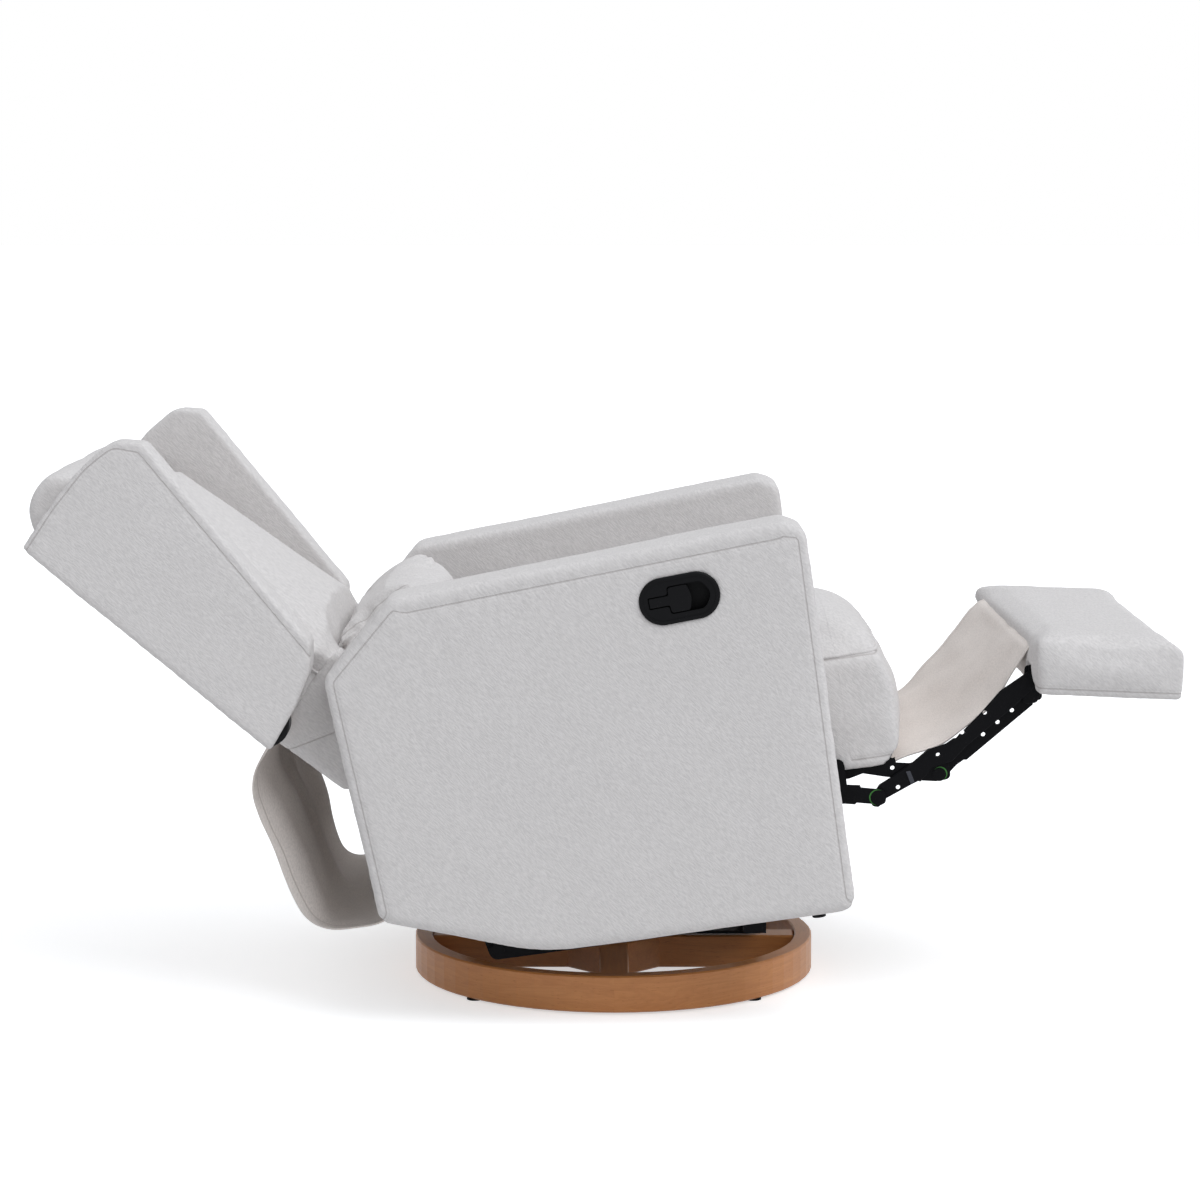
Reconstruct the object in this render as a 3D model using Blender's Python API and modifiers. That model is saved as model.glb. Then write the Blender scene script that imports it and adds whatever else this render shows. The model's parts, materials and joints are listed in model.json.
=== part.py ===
"""Swivel glider recliner on a wooden ring base, back reclined and footrest open.

Metres, +Z up, the chair faces -Y, and the origin is on the floor under the swivel's axis.
Places are written as forward and up distances: forward is towards -Y.
Everything above the glide is modelled level, then tilted back about one axis, because the
chair lies at the back stop of its glide.
"""

import math

import bmesh
import bpy
from mathutils import Matrix, Vector

GAP = 0.0003
OVERRUN = 0.006
WELD = 0.000001
ROUND_STEPS = 16
FILLET_STEPS = 4
ROUNDING_STEPS = 3
FILLET_LIMIT_SHARE = 0.47
CUSHION_CUTS = 3
SEAT_CUSHION_CUTS = 5
FLAT_ANGLE = 0.0005
SIDES = (("right", -1), ("left", 1))

# Wooden ring base
RING_RADIUS = 0.28
RING_WALL = 0.024
RING_HEIGHT = 0.05
RING_EDGE = 0.002
RING_STEPS = 64
BEAM_WIDTH = 0.04
BEAM_HEIGHT = 0.046
BEAM_EDGE = 0.002
HUB_WIDTH = 0.13
FOOT_PAD_RADIUS = 0.011
FOOT_PAD_HEIGHT = 0.003

# Swivel
RACE_RADIUS = 0.05
RACE_WIDTH = 0.012
RACE_HEIGHT = 0.006
LOWER_PLATE_RADIUS = 0.06
PLATE_THICKNESS = 0.004
PIN_RADIUS = 0.007
PIN_HEAD_RADIUS = 0.012
PIN_HEAD_HEIGHT = 0.005
UPPER_PLATE_WIDTH = 0.11

# Glide, a hanging four-bar on each side
TILT_DEG = 8.0
TILT_AXIS_HEIGHT = 0.10
UPPER_PIVOT_SPACING = 0.38
LOWER_PIVOT_SPACING = 0.27
UPPER_PIVOT_HEIGHT = 0.165
GLIDE_LINK_LENGTH = 0.095
GLIDE_LINK_RADIUS = 0.012
GLIDE_STAND_DEPTH = 0.03
GLIDE_STAND_SET_IN = 0.045
GLIDE_RISER_HEIGHT = 0.034
GLIDE_RISER_WIDTH = 0.06
STEEL_SHEET = 0.004
SHEET_SPACING = 0.002
OPEN_PIVOT_CLEARANCE = 0.003
RIVET_RADIUS = 0.004
RIVET_HEAD_RADIUS = 0.007
RIVET_HEAD_HEIGHT = 0.0015
CARRIAGE_BAR_HEIGHT = 0.022
CARRIAGE_FLANGE_REACH = 0.07
CARRIAGE_FLANGE_REAR = -0.05
CARRIAGE_FLANGE_FRONT = 0.11
CARRIAGE_TUBE_RADIUS = 0.009
CARRIAGE_TUBE_SETBACK = 0.03

# Arms
CHAIR_HALF_WIDTH = 0.375
ARM_THICKNESS = 0.11
ARM_LENGTH = 0.636
ARM_FRONT = 0.317
ARM_BOTTOM = 0.12
ARM_HEIGHT = 0.515
ARM_ROUNDING = 0.016
ARM_CORNER = 0.022
ARM_OUTLINE_SHARES = (
    (0.04, 0.135), (0.215, 0.062, 0.2), (0.36, 0.0, 0.3), (1.0, 0.0),
    (1.0, 0.975), (0.955, 1.0), (0.156, 0.942), (0.0, 0.765),
)
ARM_FRAME_THICKNESS = 0.03
ARM_FRAME_INSET = 0.03
ARM_CABLE_ROOM = 0.012
POCKET_CLEARANCE = 0.002
ARM_FOOT_RADIUS = 0.009
ARM_FOOT_HEIGHT = 0.006
ARM_FOOT_INSET = 0.045

# Seat frame and cushion
FLANGE_TOP = 0.30
WEB_HEIGHT = 0.05
WEB_FRONT = 0.335
WEB_REAR = -0.2
FLANGE_REACH = 0.09
FLANGE_FRONT = 0.31
FLANGE_REAR = -0.14
SEAT_RAIL_WIDTH = 0.03
SEAT_RAIL_HEIGHT = 0.034
SEAT_RAIL_SET_IN = 0.07
REAR_RAIL_BOTTOM = 0.222
REAR_RAIL_HEIGHT = 0.0277
REAR_RAIL_FORWARD = -0.2
CROSS_TUBE_RADIUS = 0.0125
CROSS_TUBE_FORWARD = -0.03
CROSS_TUBE_HEIGHT = 0.274
DECK_THICKNESS = 0.006
DECK_REAR = -0.165
CUSHION_SET_IN = 0.015
CUSHION_FRONT = 0.418
CUSHION_REAR = -0.195
CUSHION_TOP = 0.468
CUSHION_CROWN = 0.052
CUSHION_PINCH = 0.006

# Back, in a frame that stands on the recline hinge
RECLINE_AXIS_FORWARD = -0.152
RECLINE_AXIS_HEIGHT = 0.358
BACK_LEAN_DEG = 31.4
WING_SET_IN = 0.03
WING_THICKNESS = 0.066
WING_FRONT = -0.055
WING_DEPTH = 0.198
WING_BOTTOM = 0.198
WING_HEIGHT = 0.434
WING_ROUNDING = 0.014
WING_OUTLINE_SHARES = (
    (0.372, 0.0, 0.02), (0.66, 0.05, 0.3), (0.88, 0.105, 0.1), (1.0, 0.17, 0.05),
    (1.0, 0.965, 0.12), (0.83, 1.0, 0.3), (0.4, 0.985, 0.4), (0.0, 0.925, 0.02),
)
PAD_LEAN_DEG = 11.4
PAD_ORIGIN_FORWARD = -0.170
PAD_ORIGIN_HEIGHT = 0.200
BACK_PANEL_THICKNESS = 0.014
BACK_FRAME_THICKNESS = 0.02
BACK_PANEL_HEIGHT = 0.365
BACK_CUSHION_SET_DOWN = 0.015
BACK_CUSHION_DEPTH = 0.1
BACK_CUSHION_CROWN = 0.025
HEAD_ROLL_HEIGHT = 0.086
HEAD_ROLL_DEPTH = 0.15
HEAD_ROLL_REAR = -0.004
HEAD_ROLL_CROWN = 0.006
BACK_LOWER_SIDE_GAP = 0.0185
BACK_LOWER_BOTTOM = 0.087
BACK_LOWER_REAR = -0.18
BACK_LOWER_DEPTH = 0.135
BACK_LOWER_SET_IN = 0.03
BACK_LOWER_CORNER = 0.012
BRACKET_REACH = 0.16
BRACKET_RADIUS = 0.016
BRACKET_LEAN_DEG = 30.0
LUMBAR_WIDTH = 0.4
LUMBAR_HEIGHT = 0.095
LUMBAR_DEPTH = 0.136
LUMBAR_BOTTOM = 0.137
LUMBAR_CROWN = 0.014

# Handle on the right arm
HANDLE_FORWARD = 0.148
HANDLE_HEIGHT = 0.557
HANDLE_SLOPE_DEG = 3.0
BEZEL_LENGTH = 0.108
BEZEL_HEIGHT = 0.062
BEZEL_RIM = 0.006
BEZEL_PROUD = 0.006
BEZEL_WALL = 0.003
BEZEL_DEPTH = 0.031
PADDLE_LENGTH = 0.05
PADDLE_NECK_SHARE = 0.45
PADDLE_STEM = 0.012
PADDLE_HEIGHT = 0.034
PADDLE_THICKNESS = 0.006
PADDLE_SETBACK = 0.034
PADDLE_PIN_RADIUS = 0.0022
CABLE_RADIUS = 0.002
CABLE_HOLE_RADIUS = 0.005
CABLE_BEND = 0.0035
CABLE_LOW_END = 0.283

# Footrest linkage: pivots as forward and up places at the open end
LINK_RADIUS = 0.0105
HOLE_RADIUS = 0.0035
HOLE_STEPS = 10
DRIVE_PIVOT = (0.318, 0.280)
CRANK_PIVOT = (0.2243, 0.2624)
CROSS_PIVOT = (0.460, 0.283)
LOWER_PIN_FORWARD = 0.004
LOWER_PIN_DROP = 0.023
LOWER_PIVOT = (CROSS_PIVOT[0] + LOWER_PIN_FORWARD, CROSS_PIVOT[1] - LOWER_PIN_DROP)
TAIL_PIVOT = (0.373, 0.234)
TOP_PIVOT = (0.598, 0.376)
BRACKET_PIN_FORWARD = 0.003
BRACKET_PIN_DROP = 0.033
BOTTOM_PIVOT = (TOP_PIVOT[0] + BRACKET_PIN_FORWARD, TOP_PIVOT[1] - BRACKET_PIN_DROP)
LONG_LINK_HOLE_SHARES = (0.55, 0.70)
FRONT_LINK_HOLE_SHARES = (0.42, 0.55, 0.68)
DRIVE_LINK_HOLE_SHARES = (0.52,)

# Footrest
FOOTREST_SLOPE_DEG = 10.3
FOOTREST_SET_IN = 0.075
FOOTREST_REAR = 0.014
FOOTREST_LENGTH = 0.184
FOOTREST_BOTTOM = -0.018
BOARD_THICKNESS = 0.012
BOARD_INSET = 0.01
FOOT_CUSHION_THICKNESS = 0.05
FOOT_CUSHION_CROWN = 0.008
BRACKET_BAR_LENGTH = 0.12
BRACKET_BAR_HEIGHT = 0.016
BRACKET_FLANGE_REACH = 0.04

# Cloth flaps
FLAP_THICKNESS = 0.004
REAR_FLAP_SET_IN = 0.013
FRONT_FLAP_SET_IN = 0.037
REAR_FLAP_ROUTE_SHARES = (
    (0.0, 1.0), (-0.14, 0.76), (-0.15, 0.52), (-0.08, 0.21), (-0.02, -0.07), (0.05, -0.21),
    (0.17, -0.28), (0.33, -0.29), (0.52, -0.27), (0.78, -0.15), (1.0, 0.0),
)
FRONT_FLAP_ROUTE_SHARES = (
    (0.0, 0.0), (0.1, -0.03), (0.19, -0.05), (0.29, -0.03), (0.42, 0.06), (0.51, 0.21),
    (0.6, 0.4), (0.7, 0.68), (0.8, 0.9), (0.9, 0.98), (1.0, 1.0),
)
REAR_FLAP_LAP = 0.02
FRONT_FLAP_SETBACK = 0.035
FOLD_STEPS = 3

# Half widths, each from the chair's own: between the arms, and what lies there or beside it
BETWEEN_ARMS = CHAIR_HALF_WIDTH - ARM_THICKNESS
WEB_OUTER = BETWEEN_ARMS - GAP
GLIDE_STAND_HALF_SPAN = BETWEEN_ARMS - GLIDE_STAND_SET_IN
SEAT_RAIL_HALF_SPAN = BETWEEN_ARMS - SEAT_RAIL_SET_IN
CUSHION_HALF_WIDTH = BETWEEN_ARMS - CUSHION_SET_IN
BACK_LOWER_HALF_WIDTH = BETWEEN_ARMS - BACK_LOWER_SIDE_GAP
REAR_FLAP_HALF_WIDTH = BETWEEN_ARMS - REAR_FLAP_SET_IN
FRONT_FLAP_HALF_WIDTH = BETWEEN_ARMS - FRONT_FLAP_SET_IN
WING_HALF_WIDTH = CHAIR_HALF_WIDTH - WING_SET_IN
FOOTREST_HALF_WIDTH = CHAIR_HALF_WIDTH - FOOTREST_SET_IN


def new_collection(name):
    made = bpy.data.collections.new(name)
    bpy.context.scene.collection.children.link(made)
    return made


def new_material(name, colour, roughness, metallic=0.0):
    made = bpy.data.materials.new(name)
    made.use_nodes = True
    shader = made.node_tree.nodes["Principled BSDF"]
    shader.inputs["Base Color"].default_value = (*colour, 1.0)
    shader.inputs["Roughness"].default_value = roughness
    shader.inputs["Metallic"].default_value = metallic
    return made


for old in list(bpy.data.objects):
    bpy.data.objects.remove(old)
PARTS = new_collection("glider_recliner")
CUTTERS = new_collection("cutters")
FABRIC = new_material("woven_upholstery", (0.72, 0.69, 0.66), 0.92)
LINING = new_material("lining_cloth", (0.70, 0.67, 0.64), 0.95)
BIRCH = new_material("lacquered_birch", (0.66, 0.44, 0.27), 0.45)
PLYWOOD = new_material("raw_plywood", (0.60, 0.45, 0.30), 0.8)
BLACK_STEEL = new_material("black_enamelled_steel", (0.02, 0.02, 0.022), 0.42, 0.6)
ZINC = new_material("zinc_plated_steel", (0.55, 0.55, 0.53), 0.35, 1.0)
BLACK_PLASTIC = new_material("moulded_black_plastic", (0.015, 0.015, 0.015), 0.5)

# Side view to model space: forward runs along -Y, up along Z and the thickness along X.
SIDE_VIEW = Matrix(((0, 0, -1, 0), (-1, 0, 0, 0), (0, 1, 0, 0), (0, 0, 0, 1)))


def at(forward, up, side=0.0):
    return Vector((side, -forward, up))


def new_frame(name, parent, place, turn=0.0):
    """An empty whose X axis is a joint's or a tilt's axis."""
    frame = bpy.data.objects.new(name, None)
    PARTS.objects.link(frame)
    frame.parent = parent
    frame.location = place
    frame.rotation_euler.x = turn
    return frame


def new_object(name, mesh, parent, material, side=0.0):
    made = bpy.data.objects.new(name, mesh)
    PARTS.objects.link(made)
    made.parent = parent
    made.location.x = side
    mesh.materials.clear()
    mesh.materials.append(material)
    mesh.shade_smooth()
    mesh.set_sharp_from_angle(angle=math.radians(35))
    return made


def mesh_from(shape, name):
    bmesh.ops.remove_doubles(shape, verts=shape.verts, dist=WELD)
    bmesh.ops.recalc_face_normals(shape, faces=shape.faces)
    mesh = bpy.data.meshes.new(name)
    shape.to_mesh(mesh)
    shape.free()
    return mesh


def circle(centre, radius, steps=ROUND_STEPS):
    turns = [math.tau * step / steps for step in range(steps)]
    return [(centre[0] + radius * math.cos(turn), centre[1] + radius * math.sin(turn)) for turn in turns]


def filleted(corners):
    """An outline with each corner (forward, up, radius) rounded by an arc of that radius."""
    points = []
    for index, (forward, up, radius) in enumerate(corners):
        here = Vector((forward, up))
        before = Vector(corners[index - 1][:2]) - here
        after = Vector(corners[(index + 1) % len(corners)][:2]) - here
        half = before.angle(after) / 2
        shorter = min(before.length, after.length)
        reach = min(radius / math.tan(half), FILLET_LIMIT_SHARE * shorter)
        if reach < WELD:
            points.append(tuple(here))
            continue
        start = here + before.normalized() * reach
        end = here + after.normalized() * reach
        for step in range(FILLET_STEPS + 1):
            share = step / FILLET_STEPS
            first = start.lerp(here, share)
            second = here.lerp(end, share)
            points.append(tuple(first.lerp(second, share)))
    return points


def capsule(first, second, radius):
    """An outline of constant radius round the line between two pivots."""
    heading = math.atan2(second[1] - first[1], second[0] - first[0])
    points = []
    for centre, start in ((second, heading - math.pi / 2), (first, heading + math.pi / 2)):
        for step in range(ROUND_STEPS // 2 + 1):
            turn = start + math.pi * step / (ROUND_STEPS // 2)
            points.append((centre[0] + radius * math.cos(turn), centre[1] + radius * math.sin(turn)))
    return points


def flat_mesh(name, outlines, thickness):
    """A plate in side view: the first outline is its edge and the others are holes."""
    curve = bpy.data.curves.new(name, "CURVE")
    curve.dimensions = "2D"
    curve.fill_mode = "BOTH"
    curve.extrude = thickness / 2
    for outline in outlines:
        spline = curve.splines.new("POLY")
        spline.points.add(len(outline) - 1)
        for knot, (forward, up) in zip(spline.points, outline):
            knot.co = (forward, up, 0.0, 1.0)
        spline.use_cyclic_u = True
    holder = bpy.data.objects.new(name, curve)
    PARTS.objects.link(holder)
    graph = bpy.context.evaluated_depsgraph_get()
    flat = bpy.data.meshes.new_from_object(holder.evaluated_get(graph))
    bpy.data.objects.remove(holder)
    shape = bmesh.new()
    shape.from_mesh(flat)
    bmesh.ops.transform(shape, matrix=SIDE_VIEW, verts=shape.verts)
    bmesh.ops.remove_doubles(shape, verts=shape.verts, dist=WELD)
    if len(outlines) == 1:
        bmesh.ops.dissolve_limit(shape, angle_limit=FLAT_ANGLE, verts=shape.verts, edges=shape.edges)
    return mesh_from(shape, name)


def slab(name, corners, thickness, parent, material, side=0.0, rounding=0.0):
    made = new_object(name, flat_mesh(name, [filleted(corners)], thickness), parent, material, side)
    if rounding:
        round_edges(made, rounding, ROUNDING_STEPS)
    return made


def round_edges(made, width, segments):
    bevel = made.modifiers.new("rounding", "BEVEL")
    bevel.width = width
    bevel.segments = segments
    bevel.limit_method = "ANGLE"
    bevel.angle_limit = math.radians(50)
    return bevel


def block_mesh(name, low, high):
    """A box between two corners, each (side, forward, up)."""
    first = at(low[1], low[2], low[0])
    second = at(high[1], high[2], high[0])
    size = second - first
    shape = bmesh.new()
    bmesh.ops.create_cube(shape, size=1.0)
    bmesh.ops.scale(shape, vec=(abs(size.x), abs(size.y), abs(size.z)), verts=shape.verts)
    bmesh.ops.translate(shape, vec=(first + second) / 2, verts=shape.verts)
    return mesh_from(shape, name)


def box(name, low, high, parent, material):
    return new_object(name, block_mesh(name, low, high), parent, material)


def cylinder_mesh(name, radius, length, place, turn=None, steps=ROUND_STEPS):
    """A closed cylinder centred on a place, along Z unless a matrix turns it."""
    shape = bmesh.new()
    bmesh.ops.create_cone(
        shape, cap_ends=True, segments=steps, radius1=radius, radius2=radius, depth=length
    )
    if turn:
        bmesh.ops.transform(shape, matrix=turn, verts=shape.verts)
    bmesh.ops.translate(shape, vec=place, verts=shape.verts)
    return mesh_from(shape, name)


ALONG_X = Matrix.Rotation(math.pi / 2, 4, "Y")


def helper(name, mesh, parent):
    """A shape that cuts or joins another, kept out of the render."""
    made = bpy.data.objects.new(name, mesh)
    CUTTERS.objects.link(made)
    made.parent = parent
    made.hide_render = True
    made.display_type = "WIRE"
    return made


def combine(target, other, operation):
    change = target.modifiers.new(other.name, "BOOLEAN")
    change.operation = operation
    change.object = other
    change.solver = "EXACT"


def combine_pin(target, name, place, radius, start, end, parent, operation, steps=ROUND_STEPS):
    """Joins to, or cuts from, a target a cylinder along X between two side places."""
    middle = at(place[0], place[1], (start + end) / 2)
    mesh = cylinder_mesh(name, radius, abs(end - start), middle, ALONG_X, steps)
    combine(target, helper(name, mesh, parent), operation)


def ring_mesh(name, inner, outer, bottom, top, steps):
    """A square-sectioned ring, made as a spun profile."""
    shape = bmesh.new()
    corners = [(outer, top), (outer, bottom), (inner, bottom), (inner, top)]
    loop = [shape.verts.new((radius, 0.0, height)) for radius, height in corners]
    edges = [shape.edges.new((loop[index - 1], loop[index])) for index in range(len(loop))]
    bmesh.ops.spin(
        shape, geom=loop + edges, cent=(0, 0, 0), axis=(0, 0, 1), angle=math.tau,
        steps=steps, use_merge=True,
    )
    return mesh_from(shape, name)


def cushion(
    name, half_width, rear, front, bottom, top, crown, pinch, parent,
    upright=False, cuts=CUSHION_CUTS, front_power=2,
):
    """A stuffed form: crowned above, with sides drawn in between its corners.

    Lying, it spans rear to front and bottom to top. Upright, its crowned face looks forward,
    rear to front is its thickness and bottom to top its height. A higher front power keeps
    the crown full nearer to the front edge.
    """
    length, depth = (top - bottom, front - rear) if upright else (front - rear, top - bottom)
    shape = bmesh.new()
    bmesh.ops.create_cube(shape, size=1.0)
    bmesh.ops.subdivide_edges(shape, edges=shape.edges, cuts=cuts, use_grid_fill=True)
    for vert in shape.verts:
        across, along, high = (2 * vert.co.x, 2 * vert.co.y, 2 * vert.co.z)
        power = front_power if along < 0 else 2
        swell = (1 - across * across) * (1 - abs(along) ** power)
        vert.co.x = half_width * across - math.copysign(pinch, across) * (1 - along * along)
        vert.co.y = length / 2 * along - math.copysign(pinch, along) * (1 - across * across)
        vert.co.z = depth / 2 * high + (crown * swell if high > 0 else 0.0)
    if upright:
        turn = Matrix.Rotation(math.pi / 2, 4, "X")
        bmesh.ops.transform(shape, matrix=turn, verts=shape.verts)
    middle = at((front + rear) / 2, (top + bottom) / 2)
    bmesh.ops.translate(shape, vec=middle, verts=shape.verts)
    made = new_object(name, mesh_from(shape, name), parent, FABRIC)
    smooth = made.modifiers.new("stuffing", "SUBSURF")
    smooth.levels = 1
    smooth.render_levels = 1
    return made


def hanging_sheet(name, route, half_width, parent):
    """Cloth along a route of places in side view, open at both sides."""
    shape = bmesh.new()
    verts = [shape.verts.new(at(forward, up, -half_width)) for forward, up in route]
    edges = [shape.edges.new(pair) for pair in zip(verts, verts[1:])]
    for _ in range(FOLD_STEPS):
        grown = bmesh.ops.extrude_edge_only(shape, edges=edges)["geom"]
        verts = [item for item in grown if isinstance(item, bmesh.types.BMVert)]
        edges = [
            item for item in grown
            if isinstance(item, bmesh.types.BMEdge) and all(end in verts for end in item.verts)
        ]
        bmesh.ops.translate(shape, vec=(2 * half_width / FOLD_STEPS, 0, 0), verts=verts)
    made = new_object(name, mesh_from(shape, name), parent, LINING)
    wall = made.modifiers.new("cloth", "SOLIDIFY")
    wall.thickness = FLAP_THICKNESS
    wall.offset = 0.0
    wall.use_even_offset = True
    return made


def route_between(start, end, shares):
    return [
        (start[0] + (end[0] - start[0]) * along, end[1] + (start[1] - end[1]) * rise)
        for along, rise in shares
    ]


def make_base():
    bottom = FOOT_PAD_HEIGHT + GAP
    inner = RING_RADIUS - RING_WALL
    mesh = ring_mesh("base_ring", inner, RING_RADIUS, bottom, bottom + RING_HEIGHT, RING_STEPS)
    ring = new_object("base_ring", mesh, None, BIRCH)
    round_edges(ring, RING_EDGE, 1)
    half = BEAM_WIDTH / 2
    reach = math.sqrt(inner * inner - half * half) - GAP
    hub = HUB_WIDTH / 2
    outline = []
    for step in range(4):
        turn = Matrix.Rotation(step * math.pi / 2, 2)
        for point in ((half, reach), (-half, reach), (-half, hub), (-hub, half)):
            outline.append(tuple(turn @ Vector(point)))
    top = bottom + BEAM_HEIGHT
    mesh = flat_mesh("base_cross", [outline], BEAM_HEIGHT)
    mesh.transform(SIDE_VIEW.inverted())
    mesh.transform(Matrix.Translation((0, 0, (bottom + top) / 2)))
    cross = new_object("base_cross", mesh, None, BIRCH)
    round_edges(cross, BEAM_EDGE, 1)
    middle = RING_RADIUS - RING_WALL / 2
    turns = [math.pi / 4 + index * math.pi / 2 for index in range(4)]
    places = [(middle * math.cos(turn), middle * math.sin(turn)) for turn in turns] + [(0.0, 0.0)]
    for index, (right, back) in enumerate(places):
        name = f"base_pad_{index + 1}"
        place = (right, back, FOOT_PAD_HEIGHT / 2)
        new_object(name, cylinder_mesh(name, FOOT_PAD_RADIUS, FOOT_PAD_HEIGHT, place), None, BLACK_PLASTIC)
    return top


def make_swivel(base_top):
    """Plates, ball race and king pin. Returns the frame that turns and the top of its plate."""
    plate_bottom = base_top + GAP
    plate_top = plate_bottom + PLATE_THICKNESS
    hole = PIN_RADIUS + GAP
    name = "swivel_lower_plate"
    mesh = ring_mesh(name, hole, LOWER_PLATE_RADIUS, plate_bottom, plate_top, ROUND_STEPS * 2)
    new_object(name, mesh, None, BLACK_STEEL)
    race_bottom = plate_top + GAP
    race_top = race_bottom + RACE_HEIGHT
    name = "swivel_ball_race"
    mesh = ring_mesh(name, RACE_RADIUS - RACE_WIDTH, RACE_RADIUS, race_bottom, race_top, ROUND_STEPS * 2)
    new_object(name, mesh, None, ZINC)
    swivel = new_frame("swivel_axis", None, (0, 0, 0))
    bottom = race_top + GAP
    top = bottom + PLATE_THICKNESS
    half_length = UPPER_PIVOT_SPACING / 2 + GLIDE_STAND_DEPTH / 2
    plate = box(
        "swivel_upper_plate", (-UPPER_PLATE_WIDTH / 2, -half_length, bottom),
        (UPPER_PLATE_WIDTH / 2, half_length, top), swivel, BLACK_STEEL,
    )
    bore = cylinder_mesh("king_pin_bore", hole, PLATE_THICKNESS + 2 * OVERRUN, (0, 0, (bottom + top) / 2))
    combine(plate, helper("king_pin_bore", bore, swivel), "DIFFERENCE")
    head_bottom = top + GAP
    pin_bottom = base_top + GAP
    pin = new_object(
        "king_pin",
        cylinder_mesh(
            "king_pin", PIN_RADIUS, head_bottom - pin_bottom + OVERRUN / 2,
            (0, 0, (head_bottom + OVERRUN / 2 + pin_bottom) / 2),
        ),
        None, ZINC,
    )
    head = cylinder_mesh(
        "king_pin_head", PIN_HEAD_RADIUS, PIN_HEAD_HEIGHT, (0, 0, head_bottom + PIN_HEAD_HEIGHT / 2)
    )
    combine(pin, helper("king_pin_head", head, None), "UNION")
    return swivel, top


def hung_pivots(tilt):
    """World places of the rear and front lower pivots when the carriage tilts back by an angle."""
    half = UPPER_PIVOT_SPACING / 2
    span = Vector((LOWER_PIVOT_SPACING * math.cos(tilt), LOWER_PIVOT_SPACING * math.sin(tilt)))
    apart = Vector((UPPER_PIVOT_SPACING, 0.0)) - span
    drop = math.sqrt(GLIDE_LINK_LENGTH ** 2 - apart.length_squared / 4)
    down = Vector((apart.y, -apart.x)).normalized()
    rear = Vector((-half, UPPER_PIVOT_HEIGHT)) + apart / 2 + down * drop
    return rear, rear + span


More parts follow.
